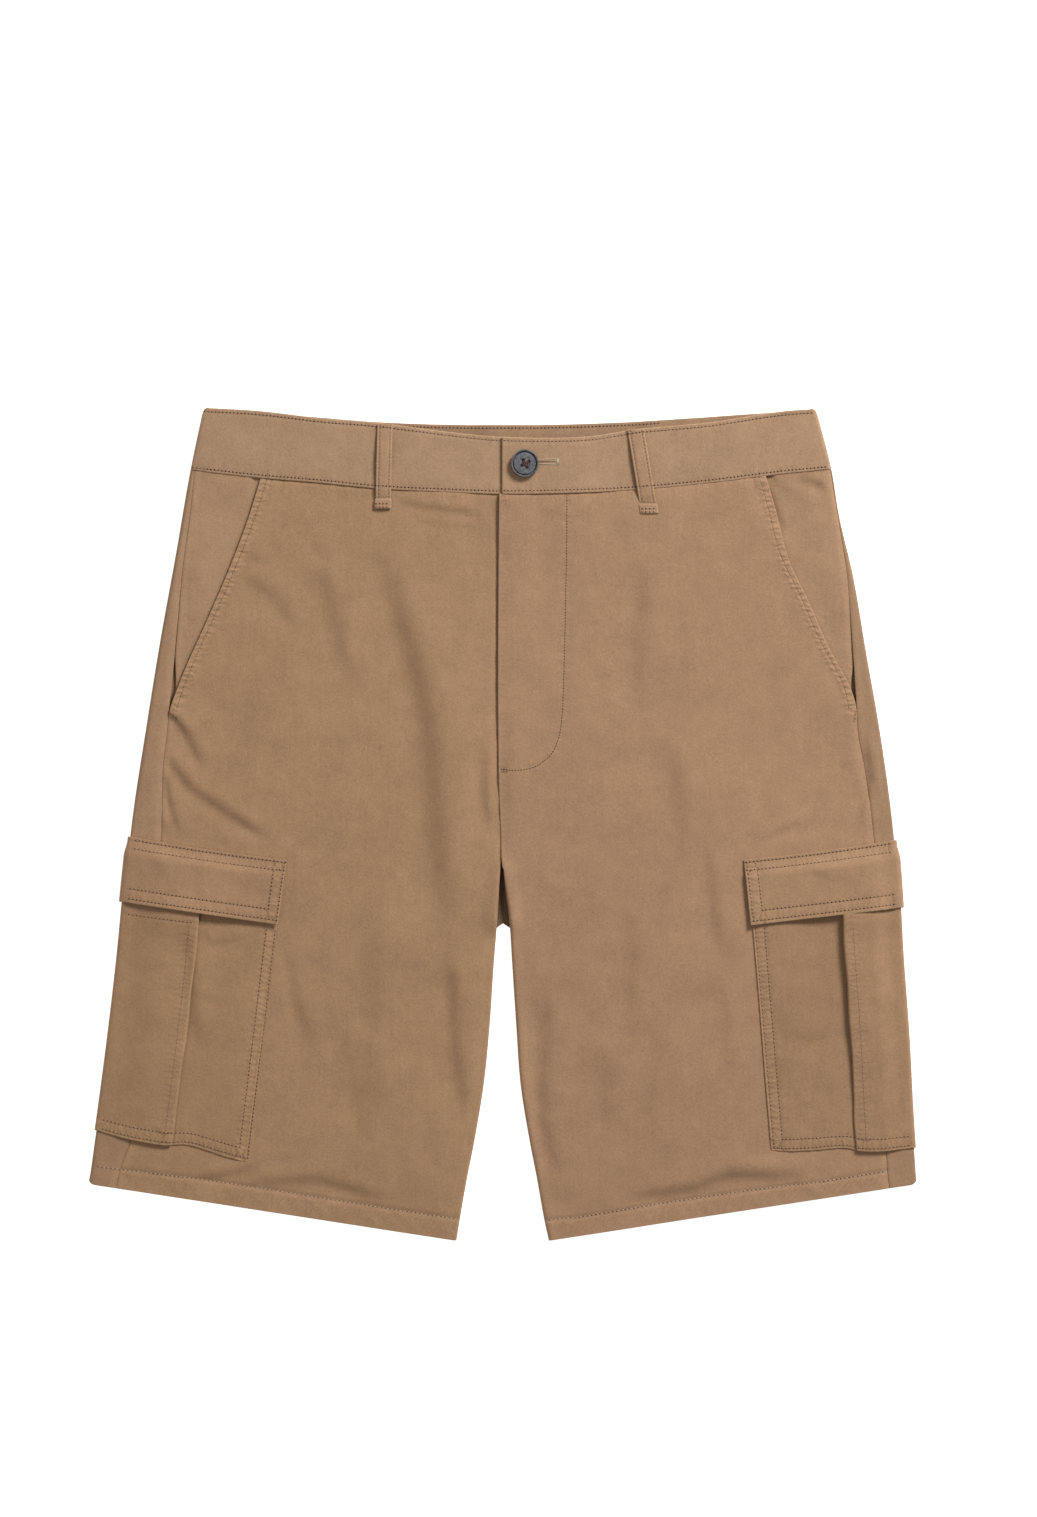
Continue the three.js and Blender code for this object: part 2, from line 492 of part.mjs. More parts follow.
function makeBack(side) {
  const sign = signOf(side);
  const clear = POCKET[side].wrap + RAISE_REACH.clear;
  const net = PANEL_ROWS[side].map((outerY) => {
    const row = rowAt(outerY);
    const crossesSeat = row < CROTCH_ROW;
    const innerX = crossesSeat ? SEAT_HALF_GAP : meet(side, 'back', row, (y) => inseamX(side, y));
    const points = [];
    const putUnder = (x, lift) => {
      const y = rowY(side, 'back', row, x);
      const low = Math.max(undersideZ(side, foldX(side, y) - x, outerY), loopRaise(sign * x, y));
      points.push(new THREE.Vector3(sign * x, y, low + CLOTH / 2 + lift));
    };
    const from = rollEdge(innerX, crossesSeat ? 0 : 1, putUnder);
    const edgeX = foldX(side, outerY);
    const levelX = edgeX - clear - RAISE_REACH.ease;
    const levelAtWaist = foldX(side, ROW_TOP_OUTER_Y) - clear - RAISE_REACH.ease;
    const fromAtWaist = SEAT_HALF_GAP + SEAM_ALLOWANCE;
    for (const x of BACK_WAIST_XS) {
      putUnder(lerp(from, levelX, (x - fromAtWaist) / (levelAtWaist - fromAtWaist)), 0);
    }
    putUnder(levelX, 0);
    putUnder(edgeX - clear, 0);
    // Over the fold to the side seam on the top side
    const quarter = quarterAt(side, outerY);
    const radius = foldRadius(side, outerY);
    const seam = meet(side, 'front', row, (y) => seamX(side, y));
    const seamY = rowY(side, 'front', row, seam);
    const end = reachAt(side, foldX(side, seamY) - seam, outerY) - 0.2;
    const bendEnd = Math.min(quarter, end - 4 * EDGE);
    const putRound = (reach) => {
      const onFold = Math.abs(reach) <= quarter;
      const inward = onFold ? radius * (1 - Math.cos(reach / radius)) : Math.abs(reach) - quarter + radius;
      const y = rowY(side, reach > 0 ? 'front' : 'back', row, edgeX - inward);
      points.push(bodyPoint(side, reach, y, outerY, -CLOTH / 2));
    };
    for (let k = 0; k <= FOLD_STEPS; k += 1) putRound(lerp(-quarter, bendEnd, k / FOLD_STEPS));
    putRound(lerp(bendEnd, end, 0.5));
    putRound(end - EDGE);
    putRound(end);
    return points;
  });
  addPiece(`back_panel_${side}`, clothFromNet(net, hemWall(side), sign < 0), COLOURS.back);
}

// How far the back is held off the table over the back belt loops
function loopRaise(x, y) {
  const nearest = Math.min(...BACK_LOOP.xs.map((at) => Math.abs(x - at)));
  const over = 1 - smooth(BACK_LOOP.clear, BACK_LOOP.clear + BACK_LOOP.ease, nearest);
  return (LOOP + GAP) * over * smooth(BACK_LOOP_REACH.from, BACK_LOOP_REACH.to, y);
}

// Pocket facing that shows behind the slanted opening; it runs on below the front panel
function makeFacing(side) {
  const sign = signOf(side);
  const edgeShare = EDGE / (LEG_LENGTH * (rowAt(FACING.footY) - FACING_TOP_ROW));
  const shares = [0, edgeShare];
  for (let k = 1; k < FACING.rows; k += 1) shares.push(lerp(edgeShare, 1 - edgeShare, k / FACING.rows));
  shares.push(1 - edgeShare, 1);
  const net = shares.map((share) => {
    const row = lerp(FACING_TOP_ROW, rowAt(FACING.footY), share);
    const outerY = lerp(ROW_TOP_OUTER_Y, ROW_HEM_OUTER_Y, row);
    const slant = meet(side, 'front', row, (y) => slantX(side, y));
    const seam = meet(side, 'front', row, (y) => seamX(side, y));
    const width = seam - slant;
    const outerDip = LAP_DIP * (1 - smooth(8, 34, width));
    const outerX = lerp(seam - 3, seam, smooth(2, 12, width));
    const openX = Math.min(slant, outerX - FACING.least);
    const points = [];
    const put = (x) => {
      const y = rowY(side, 'front', row, x);
      const across = clamp((x - slant - 1) / Math.max(width - 2, 1), 0, 1);
      const dip = lerp(LAP_DIP, outerDip, smooth(0.05, 0.9, across));
      points.push(bodyPoint(side, reachAt(side, foldX(side, y) - x, outerY), y, outerY, -CLOTH / 2 - dip));
    };
    put(openX - FACING.underlap);
    put(openX - FACING.underlap + EDGE);
    put(openX - 1.5);
    for (const part of FACING.shares) put(lerp(openX, outerX, part));
    put(outerX - 0.2 - EDGE);
    put(outerX - 0.2);
    return points;
  });
  addPiece(`hip_piece_${side}`, clothFromNet(net, CLOTH, sign < 0), COLOURS.facing);
}

// The waistband is one strip that runs round both folds and laps over itself at the centre front
function makeBand() {
  const radius = BAND_HEIGHT / 2;
  const middle = radius - BAND / 2;
  const lapShift = (x, end) => {
    if (end === 'over') {
      return BAND_LAP.rise * (1 - smooth(BAND_LAP.underEnd + 2, BAND_LAP.underEnd + BAND_LAP.ease, x));
    }
    return (BAND_LAP.rise - BAND - GAP) * smooth(BAND_LAP.end - BAND_LAP.ease, BAND_LAP.end - 4, x);
  };
  const front = (x, end) => BAND_SHARES.map((share) => {
    const y = lerp(read(BAND_EDGE, 'x', x, 'lower'), read(BAND_EDGE, 'x', x, 'upper'), share);
    return new THREE.Vector3(x, y, BAND_HEIGHT - BAND / 2 + lapShift(x, end));
  });
  const back = (x) => BAND_SHARES.map((share) => {
    const y = lerp(read(BAND_BACK_EDGE, 'x', x, 'lower'), read(BAND_BACK_EDGE, 'x', x, 'upper'), share);
    return new THREE.Vector3(x, y, BAND / 2 + loopRaise(x, y));
  });
  const fold = (side, degrees) => BAND_SHARES.map((share) => {
    const edge = side === 'left' ? BAND_EDGE[BAND_EDGE.length - 1] : BAND_EDGE[0];
    const y = lerp(edge.lower, edge.upper, share);
    const angle = degrees * Math.PI / 180;
    const x = foldX(side, y) - radius + middle * Math.cos(angle);
    return new THREE.Vector3(signOf(side) * x, y, radius + middle * Math.sin(angle));
  });
  const net = [
    ...BAND_STOPS.under.map((x) => front(x, 'under')),
    ...BAND_FOLD_DEGREES.map((degrees) => fold('right', degrees)),
    ...BAND_STOPS.back.map((x) => back(x)),
    ...BAND_FOLD_DEGREES.map((degrees) => fold('left', -degrees)),
    ...BAND_STOPS.over.map((x) => front(x, 'over')),
  ];
  return clothFromNet(net, BAND, false);
}

let solids;

function toSolid(geometry) {
  const bare = geometry.clone();
  bare.deleteAttribute('normal');
  bare.deleteAttribute('uv');
  const merged = mergeVertices(bare, 1e-4);
  return new solids.Manifold(new solids.Mesh({
    numProp: 3,
    vertProperties: new Float32Array(merged.attributes.position.array),
    triVerts: new Uint32Array(merged.index.array),
  }));
}

function toGeometry(solid) {
  const mesh = solid.getMesh();
  const geometry = new THREE.BufferGeometry();
  geometry.setAttribute('position', new THREE.Float32BufferAttribute(mesh.vertProperties, 3));
  geometry.setIndex([...mesh.triVerts]);
  return geometry;
}

// The buttonhole is cut through the upper end of the band
function cutButtonhole(band) {
  const slit = new THREE.BoxGeometry(BUTTONHOLE.to - BUTTONHOLE.from, BUTTONHOLE.width, BAND + GAP);
  slit.translate((BUTTONHOLE.from + BUTTONHOLE.to) / 2, BUTTONHOLE.y, BAND_HEIGHT + BAND_LAP.rise - BAND / 2);
  return toGeometry(toSolid(band).subtract(toSolid(slit)));
}

// A belt loop is a strip through a list of places along its middle
function makeLoop(name, width, places) {
  const offsets = [-width / 2, -width / 2 + EDGE, width / 2 - EDGE, width / 2];
  const net = places.map(({ x, y, z }) => offsets.map((offset) => new THREE.Vector3(x + offset, y, z)));
  addPiece(name, clothFromNet(net, LOOP, true), COLOURS.loop);
}

// Front loops stand off the band between their sewn ends and step down to the panel below it
function makeFrontLoop(side) {
  const shape = FRONT_LOOP[side];
  const edgeShare = EDGE / (shape.upperY - shape.lowerY);
  const places = [0, edgeShare, ...FRONT_LOOP_STOPS, 1 - edgeShare, 1].map((share) => {
    const below = lerp(BAND_HEIGHT, BODY_HEIGHT, smooth(FRONT_LOOP_FOOT.from, FRONT_LOOP_FOOT.to, share));
    const onArch = clamp((share - FRONT_LOOP_ARCH.from) / FRONT_LOOP_ARCH.length, 0, 1);
    return {
      x: lerp(shape.upperX, shape.lowerX, share),
      y: lerp(shape.upperY, shape.lowerY, share),
      z: below + GAP + LOOP / 2 + FRONT_LOOP_ARCH.rise * Math.sin(Math.PI * onArch),
    };
  });
  makeLoop(`belt_loop_front_${side}`, shape.width, places);
}

// Back loops lie flat on the table, below the back panels
function makeBackLoop(name, x) {
  const upperY = read(BAND_BACK_EDGE, 'x', x, 'upper') - BACK_LOOP.inset;
  const lowerY = read(BAND_BACK_EDGE, 'x', x, 'lower') - BACK_LOOP.reachBelow;
  const edgeShare = EDGE / (upperY - lowerY);
  const shares = [0, edgeShare, 0.25, 0.5, 0.75, 1 - edgeShare, 1];
  const places = shares.map((share) => ({ x, y: lerp(upperY, lowerY, share), z: LOOP / 2 }));
  makeLoop(`belt_loop_back_${name}`, BACK_LOOP.width, places);
}

// Cargo pocket: one piece from its front edge, folded under at the pleat, to its far edge below the leg
function makePocket(side) {
  const sign = signOf(side);
  const { mouthY, footY, frontX, pleatAt, pleatUnder, wrap } = POCKET[side];
  const base = GAP + CLOTH / 2;
  const turn = PLEAT_LEVEL / 2;
  const innerAt = pleatAt - pleatUnder;
  const between = PANEL_ROWS[side].filter((y) => y < mouthY.side - 6 && y > footY.side + 6);
  const sideYs = [mouthY.side, mouthY.side - EDGE, ...between, footY.side + EDGE, footY.side];
  const net = sideYs.map((sideY) => {
    const share = (sideY - mouthY.side) / (footY.side - mouthY.side);
    const frontY = lerp(mouthY.front, footY.front, share);
    const width = foldX(side, sideY) - lerp(frontX.mouth, frontX.foot, share);
    const puff = POCKET_PUFF * Math.sin(Math.PI * share) ** 2;
    const points = [];
    const put = (inward, level, puffAt = inward) => {
      const y = lerp(sideY, frontY, inward / width);
      const lift = puff * smooth(2, 22, width - puffAt) * smooth(8, 30, puffAt);
      points.push(bodyPoint(side, reachAt(side, inward, sideY), y, sideY, base + level + lift));
    };
    const putTurn = (inward, level, outward) => {
      for (const angle of [-Math.PI / 4, 0, Math.PI / 4]) {
        put(inward + outward * turn * Math.cos(angle), level + turn * (1 + Math.sin(angle)), inward);
      }
    };
    // From the front edge to the pleat's inner fold, below the pleat
    for (const inward of [width, width - EDGE, width - 9]) put(inward, 0);
    for (const part of [0.42, 0.74, 1]) put(lerp(width, pleatAt, part), 0);
    put(lerp(pleatAt, innerAt, 0.55), 0);
    put(innerAt, 0);
    // Back to the outer fold and over it
    putTurn(innerAt, 0, -1);
    put(innerAt, PLEAT_LEVEL);
    put(pleatAt, PLEAT_LEVEL);
    putTurn(pleatAt, PLEAT_LEVEL, 1);
    put(pleatAt, 2 * PLEAT_LEVEL);
    put(lerp(pleatAt, innerAt, 0.55), 2 * PLEAT_LEVEL);
    put(innerAt - 1, 2 * PLEAT_LEVEL);
    for (const part of [0.3, 0.65, 1]) {
      put(lerp(innerAt - 3.5, 6, part), 2 * PLEAT_LEVEL * (1 - smooth(0, 1, lerp(0.12, 1, part))));
    }
    // Round the outer fold and below the leg
    const quarter = quarterAt(side, sideY);
    for (let k = 0; k <= FOLD_STEPS; k += 1) {
      points.push(bodyPoint(side, lerp(quarter * 0.94, -quarter, k / FOLD_STEPS), sideY, sideY, base));
    }
    for (const inward of [9, 15, wrap - EDGE, wrap]) {
      const reach = -(quarter + inward - foldRadius(side, sideY));
      points.push(bodyPoint(side, reach, lerp(sideY, frontY, inward / width), sideY, base));
    }
    return points;
  });
  addPiece(`cargo_pocket_${side}`, clothFromNet(net, CLOTH, sign < 0), COLOURS.pocket);
}

// Flap: sewn down along its top edge and hanging over the pocket's mouth
function makeFlap(side) {
  const sign = signOf(side);
  const { topY, footY, frontX, wrap } = FLAP_SHAPE[side];
  const { pleatAt, pleatUnder } = POCKET[side];
  const base = GAP + FLAP / 2;
  const innerAt = pleatAt - pleatUnder;
  const humpFoot = pleatAt + 14;
  const raisedY = SIDE_RAISE[side][2].y;
  const raisedShare = (raisedY - topY.side) / (footY.side - topY.side);
  const edgeShare = EDGE / FLAP_LENGTH;
  const shares = [0, edgeShare, raisedShare / 2, raisedShare, 0.3, 0.47, 0.66, 0.84, 1 - edgeShare, 1];
  const net = shares.map((share) => {
    const frontY = lerp(topY.front, footY.front, share);
    const sideY = lerp(topY.side, footY.side, share);
    const width = foldX(side, sideY) - lerp(frontX.top, frontX.foot, share);
    const down = smooth(0.06, 0.3, share);
    const yAt = (inward) => {
      const bow = FLAP_SAG * (1 - share) * Math.sin(Math.PI * clamp(inward / width, 0, 1));
      return lerp(sideY, frontY, inward / width) - bow;
    };
    const points = [];
    const put = (inward) => {
      const hump = smooth(4, innerAt - 3, inward) * (1 - smooth(pleatAt + 4, pleatAt + 22, inward));
      const over = CLOTH + GAP + FLAP_CLEAR * smooth(2, 12, inward) + 2 * PLEAT_LEVEL * hump;
      points.push(bodyPoint(side, reachAt(side, inward, sideY), yAt(inward), sideY, base + down * over));
    };
    for (const part of [0, EDGE / (width - humpFoot), 0.22, 0.45, 0.7, 1]) put(lerp(width, humpFoot, part));
    for (const inward of [pleatAt + 4, pleatAt - 6, innerAt + 4, innerAt - 3, lerp(innerAt - 3, 5, 0.5), 5]) {
      put(inward);
    }
    const out = base + down * (CLOTH + GAP);
    const quarter = quarterAt(side, sideY);
    for (let k = 0; k <= FOLD_STEPS; k += 1) {
      points.push(bodyPoint(side, lerp(quarter * 0.94, -quarter, k / FOLD_STEPS), sideY, sideY, out));
    }
    for (const inward of [9, 16, wrap - EDGE, wrap]) {
      points.push(bodyPoint(side, -(quarter + inward - foldRadius(side, sideY)), yAt(inward), sideY, out));
    }
    return points;
  });
  addPiece(`cargo_flap_${side}`, clothFromNet(net, FLAP, sign < 0), COLOURS.flap);
}

// Button with a raised rim and four holes
function makeButton() {
  const { radius, height, wellRadius, wellDepth, wellDish } = BUTTON;
  const profile = [
    [0, 0], [radius - 1.3, 0], [radius - 0.4, 0.5], [radius, 1.6], [radius - 0.3, height - 0.5],
    [radius - 0.9, height], [wellRadius + 0.3, height - 0.3], [wellRadius - 0.3, height - wellDepth],
    [0, height - wellDepth - wellDish],
  ].map(([r, z]) => new THREE.Vector2(r, z));
  const disc = new THREE.LatheGeometry(profile, BUTTON.sides);
  disc.rotateX(Math.PI / 2);
  let solid = toSolid(disc);
  for (let k = 0; k < BUTTON.holes; k += 1) {
    const angle = BUTTON.turn + (k + 0.5) * 2 * Math.PI / BUTTON.holes;
    const { holeRadius, holeSides } = BUTTON;
    const hole = new THREE.CylinderGeometry(holeRadius, holeRadius, 3 * height, holeSides);
    hole.rotateX(Math.PI / 2);
    hole.translate(BUTTON.holeOffset * Math.cos(angle), BUTTON.holeOffset * Math.sin(angle), height / 2);
    solid = solid.subtract(toSolid(hole));
  }
  const geometry = toGeometry(solid);
  geometry.translate(BUTTON.x, BUTTON.y, BAND_HEIGHT + BAND_LAP.rise + GAP);
  addPiece('waist_button', geometry, COLOURS.button, BUTTON_ROUGHNESS);
}

solids = await Module();
solids.setup();

for (const side of ['right', 'left']) {
  makeBack(side);
  makeFacing(side);
  makeFront(side);
  makePocket(side);
  makeFlap(side);
  makeFrontLoop(side);
}
BACK_LOOP.xs.forEach((x, k) => makeBackLoop(BACK_LOOP_NAMES[k], x));
addPiece('waistband', cutButtonhole(makeBand()), COLOURS.band);
makeButton();

export default shorts;
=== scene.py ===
import math
import bpy
import numpy as np
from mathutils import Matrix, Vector
from mathutils.bvhtree import BVHTree


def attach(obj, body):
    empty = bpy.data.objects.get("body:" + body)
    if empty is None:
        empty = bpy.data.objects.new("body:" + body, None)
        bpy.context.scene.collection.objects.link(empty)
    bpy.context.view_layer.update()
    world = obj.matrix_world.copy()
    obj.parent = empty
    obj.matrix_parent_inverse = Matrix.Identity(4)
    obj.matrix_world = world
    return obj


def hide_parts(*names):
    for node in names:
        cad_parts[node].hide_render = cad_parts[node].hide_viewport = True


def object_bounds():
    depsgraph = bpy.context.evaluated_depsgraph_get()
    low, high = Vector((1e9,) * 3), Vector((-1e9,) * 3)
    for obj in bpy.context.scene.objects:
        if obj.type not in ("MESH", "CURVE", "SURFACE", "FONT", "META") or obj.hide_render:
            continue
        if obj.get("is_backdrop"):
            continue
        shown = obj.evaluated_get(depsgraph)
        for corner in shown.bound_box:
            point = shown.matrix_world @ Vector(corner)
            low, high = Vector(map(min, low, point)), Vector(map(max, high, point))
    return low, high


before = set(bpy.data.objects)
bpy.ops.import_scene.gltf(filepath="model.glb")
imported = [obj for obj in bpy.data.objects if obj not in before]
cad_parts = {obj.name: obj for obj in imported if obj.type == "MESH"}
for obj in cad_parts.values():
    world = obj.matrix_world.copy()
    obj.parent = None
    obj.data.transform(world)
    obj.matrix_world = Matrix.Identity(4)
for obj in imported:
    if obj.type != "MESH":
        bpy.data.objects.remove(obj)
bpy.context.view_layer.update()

# Table, light and camera
# A white paper sweep lit from all round, with a soft lamp above the upper right corner.
# The camera hangs straight above the table.
MM = 0.001


def linear(hex_colour):
    """An sRGB hex colour as linear values."""
    channels = [int(hex_colour[k:k + 2], 16) / 255 for k in (0, 2, 4)]
    return [c / 12.92 if c <= 0.04045 else ((c + 0.055) / 1.055) ** 2.4 for c in channels] + [1.0]


def add_node(tree, kind, settings=None, **inputs):
    """A shader node with its settings and inputs; an input is a value or another node's output."""
    node = tree.nodes.new(kind)
    for key, value in (settings or {}).items():
        setattr(node, key, value)
    for key, value in inputs.items():
        index = int(key[1:]) if key[0] == "i" and key[1:].isdigit() else key.replace("_", " ")
        socket = node.inputs[index]
        if isinstance(value, bpy.types.NodeSocket):
            tree.links.new(value, socket)
        else:
            socket.default_value = value
    return node


def new_material(name):
    material = bpy.data.materials.new(name)
    material.use_nodes = True
    material.node_tree.nodes.clear()
    return material, material.node_tree


def finish_material(tree, surface):
    add_node(tree, "ShaderNodeOutputMaterial", Surface=surface)


paper, tree = new_material("white_paper")
glow = add_node(tree, "ShaderNodeEmission", Color=(1, 1, 1, 1), Strength=0.8)
matt = add_node(tree, "ShaderNodeBsdfDiffuse", Color=(0.9, 0.9, 0.9, 1))
both = add_node(tree, "ShaderNodeAddShader", i0=glow.outputs[0], i1=matt.outputs[0])
finish_material(tree, both.outputs[0])
bpy.ops.mesh.primitive_grid_add(x_subdivisions=4, y_subdivisions=4, size=6, location=(0, 0, -0.4 * MM))
table = bpy.context.object
table.name = "paper_table"
table.data.materials.append(paper)
table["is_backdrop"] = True

world = bpy.data.worlds.new("studio")
bpy.context.scene.world = world
world.use_nodes = True
world.node_tree.nodes["Background"].inputs["Color"].default_value = (1.0, 1.0, 1.0, 1)
world.node_tree.nodes["Background"].inputs["Strength"].default_value = 0.26


def add_lamp(name, place, size, watts):
    """A square soft lamp that points at the middle of the shorts."""
    data = bpy.data.lights.new(name, "AREA")
    data.shape = "RECTANGLE"
    data.size = data.size_y = size
    data.energy = watts
    lamp = bpy.data.objects.new(name, data)
    bpy.context.scene.collection.objects.link(lamp)
    lamp.location = place
    lamp.rotation_euler = (-Vector(place)).to_track_quat("-Z", "Y").to_euler()


add_lamp("key_softbox", place=(1.7, 2.2, 1.9), size=1.0, watts=122)
add_lamp("fill_softbox", place=(-1.6, -0.6, 1.8), size=1.4, watts=7)

# the photograph is 1037 by 1517 pixels of 0.68 mm, and the part's origin is at its pixel (503, 824.5)
PIXEL = 0.68
PHOTO_WIDE, PHOTO_HIGH = 1037, 1517
ORIGIN_X, ORIGIN_Y = 503, 824.5
CAMERA_HEIGHT = 3.0
SHORTS_TOP = 5.5 * MM
camera_data = bpy.data.cameras.new("camera")
camera_data.sensor_width = 36
camera_data.lens = 36 * CAMERA_HEIGHT / (PHOTO_HIGH * PIXEL * MM)
camera = bpy.data.objects.new("camera", camera_data)
bpy.context.scene.collection.objects.link(camera)
camera.location = ((PHOTO_WIDE / 2 - ORIGIN_X) * PIXEL * MM, (ORIGIN_Y - PHOTO_HIGH / 2) * PIXEL * MM,
                   CAMERA_HEIGHT + SHORTS_TOP)
bpy.context.scene.camera = camera
bpy.context.scene.view_settings.view_transform = "Standard"
bpy.context.scene.view_settings.look = "None"

# Back panels
# Two panels of washed cotton twill. They lie on the table and fold round the outer edge
# of the laid-out shorts, up to the side seams on the top side.

# All lengths below are millimetres. The outlines are rows of (y, distance from the centre line).
CLOTH, GAP = 1.2, 0.3
LOOP = 1.5
BODY_HEIGHT = 5.4
ROW_TOP, ROW_HEM = 240.6, -244.6
LEG_LENGTH = ROW_TOP - ROW_HEM
CROTCH_ROW, CROTCH_Y = 0.5595, -68.7
INSEAM_HEM_Y = -283.2
WAIST_Y = {"front": 224.5, "back": 233.6}
SIDES = {"right": -1, "left": 1}
OUTER_FOLD = {
    "right": [(284.0, 203.7), (240.6, 212.8), (185.3, 222.4), (125.5, 233.2), (66.3, 242.8), (8.5, 251.6),
              (-32.0, 256.0), (-92.1, 262.1), (-139.7, 267.6), (-188.7, 274.0), (-245.0, 281.9)],
    "left": [(283.2, 213.0), (241.1, 223.7), (210.5, 228.7), (169.7, 238.2), (115.3, 247.5), (64.3, 256.4),
             (8.5, 264.2), (-34.0, 268.1), (-92.1, 271.7), (-143.1, 275.4), (-194.1, 278.1), (-245.0, 281.5)],
}
INSEAM = {
    "right": [(-30.0, 1.6), (-39.4, 2.2), (-67.7, 3.9), (-95.5, 6.1), (-136.3, 8.8), (-177.1, 12.9),
              (-217.9, 19.7), (-238.3, 23.8), (-268.9, 29.2), (-283.2, 31.5)],
    "left": [(-30.0, 0.2), (-39.4, 1.0), (-67.7, 4.3), (-95.5, 6.1), (-136.3, 8.8), (-177.1, 11.8),
             (-217.9, 18.4), (-238.3, 22.4), (-268.9, 27.9), (-283.2, 31.0)],
}
SIDE_SEAM = {
    "right": [(242.0, 210.0), (213.2, 212.8), (175.1, 217.9), (137.0, 221.4), (98.9, 224.9), (77.9, 227.2),
              (57.1, 229.2), (39.8, 231.2), (-12.0, 232.6), (-214.2, 253.0), (-230.7, 259.1), (-246.5, 263.2)],
    "left": [(242.0, 222.9), (213.9, 227.4), (204.3, 229.0), (167.9, 234.3), (133.2, 236.9), (90.1, 239.9),
             (58.8, 241.9), (41.3, 245.5), (-11.2, 252.3), (-235.6, 261.4), (-248.0, 262.7)],
}
# the waistband's lower edge, in rows of (x, y)
BAND_LOWER = {
    "front": [(-212.8, 240.6), (-165, 235.3), (-124.4, 231.9), (-83.6, 227.9), (-36, 225.6), (0, 224.3),
              (55.8, 225.3), (91.2, 227.3), (140.8, 231.9), (191.8, 238.2), (223.7, 241.1)],
    "back": [(-212.8, 240.6), (-165, 239.5), (-83.6, 236.0), (0, 233.6), (83.6, 236.0), (170, 239.5),
             (223.7, 241.1)],
}
# mouth and foot heights and front_x are each given at two ends; pleat is the fold's distance from the
# outer fold of the leg, under is the depth of its tuck, and wrap is what runs on to the back
POCKET = {
    "right": {"mouth": (-41.0, -27.5), "foot": (-229.5, -208.0), "front_x": (148.8, 171.8),
              "pleat": 52, "under": 18, "wrap": 24},
    "left": {"mouth": (-41.0, -29.5), "foot": (-221.6, -220.0), "front_x": (166.8, 182.2),
             "pleat": 38.5, "under": 17, "wrap": 20},
}
# how far the pocket and flap hold the leg's outer edge off the table, in rows of (y, height)
SIDE_RAISE = {
    "right": [(-229.5, 0), (-214, 1.5), (-84, 1.5), (-60, 3.4), (-16, 3.4), (4, 1.9), (36, 0)],
    "left": [(-229.5, 0), (-221, 1.5), (-88, 1.5), (-64, 3.4), (-18, 3.4), (2, 1.9), (36, 0)],
}


def lerp(a, b, t):
    return a + (b - a) * t


def smooth(start, end, value):
    t = np.clip((value - start) / (end - start), 0, 1)
    return t * t * (3 - 2 * t)


def beside(distance, width):
    """1 on a line, fading away to both sides of it."""
    return np.exp(-(distance / width) ** 2)


def across(start, end, count):
    """Evenly spaced values for the columns of a net."""
    return np.linspace(start, end, count)[None, :]


def read(rows, at):
    """Reads a table of (key, value) rows, easing smoothly through them."""
    rows = np.array(sorted(rows), float)
    key, value = rows[:, 0], rows[:, 1]
    slope = np.diff(value) / np.diff(key)
    bend = np.concatenate([slope[:1], (slope[:-1] + slope[1:]) / 2, slope[-1:]])
    at = np.clip(at, key[0], key[-1])
    i = np.clip(np.searchsorted(key, at, side="right") - 1, 0, len(key) - 2)
    span = key[i + 1] - key[i]
    t = (at - key[i]) / span
    near = (2 * t ** 3 - 3 * t ** 2 + 1) * value[i] + (t ** 3 - 2 * t ** 2 + t) * span * bend[i]
    return near + (3 * t ** 2 - 2 * t ** 3) * value[i + 1] + (t ** 3 - t ** 2) * span * bend[i + 1]


def fold_x(side, y):
    return read(OUTER_FOLD[side], y)


def inseam_x(side, y):
    return read(INSEAM[side], y)


def seam_x(side, y):
    return read(SIDE_SEAM[side], y)


def row_at(outer_y):
    """The number of a panel's line that ends at this height at the outer fold."""
    return (ROW_TOP - outer_y) / LEG_LENGTH


def row_y(side, face, row, x):
    """Height of a panel's line, numbered 0 at the waist seam to 1 at the hem, at x from the centre."""
    outer_y = lerp(ROW_TOP, ROW_HEM, row)
    above = lerp(WAIST_Y[face], CROTCH_Y, row / CROTCH_ROW)
    below = lerp(CROTCH_Y, INSEAM_HEM_Y, (row - CROTCH_ROW) / (1 - CROTCH_ROW))
    inner_y = np.where(row < CROTCH_ROW, above, below)
    outer_x = fold_x(side, outer_y)
    inner_x = np.where(row < CROTCH_ROW, 0, inseam_x(side, inner_y))
    straight = lerp(inner_y, outer_y, (x - inner_x) / (outer_x - inner_x))
    level = lerp(WAIST_Y[face], ROW_TOP, x / fold_x(side, ROW_TOP))
    sag = read(BAND_LOWER[face], SIDES[side] * x) - level
    return straight + sag * (1 - smooth(0, 0.3, row))


def meet(side, face, row, line):
    """Where a panel's lines meet a seam."""
    x = line(lerp(ROW_TOP, ROW_HEM, row))
    for _ in range(6):
        x = line(row_y(side, face, row, x))
    return x


def underside_z(side, inward, fold_y):
    keys, values = zip(*SIDE_RAISE[side])
    clear = POCKET[side]["wrap"] + 7
    return np.interp(fold_y, keys, values) * (1 - np.clip((inward - clear) / 26, 0, 1))


def fold_top_z(side, fold_y):
    return np.maximum(BODY_HEIGHT, underside_z(side, 0, fold_y) + 3.0)


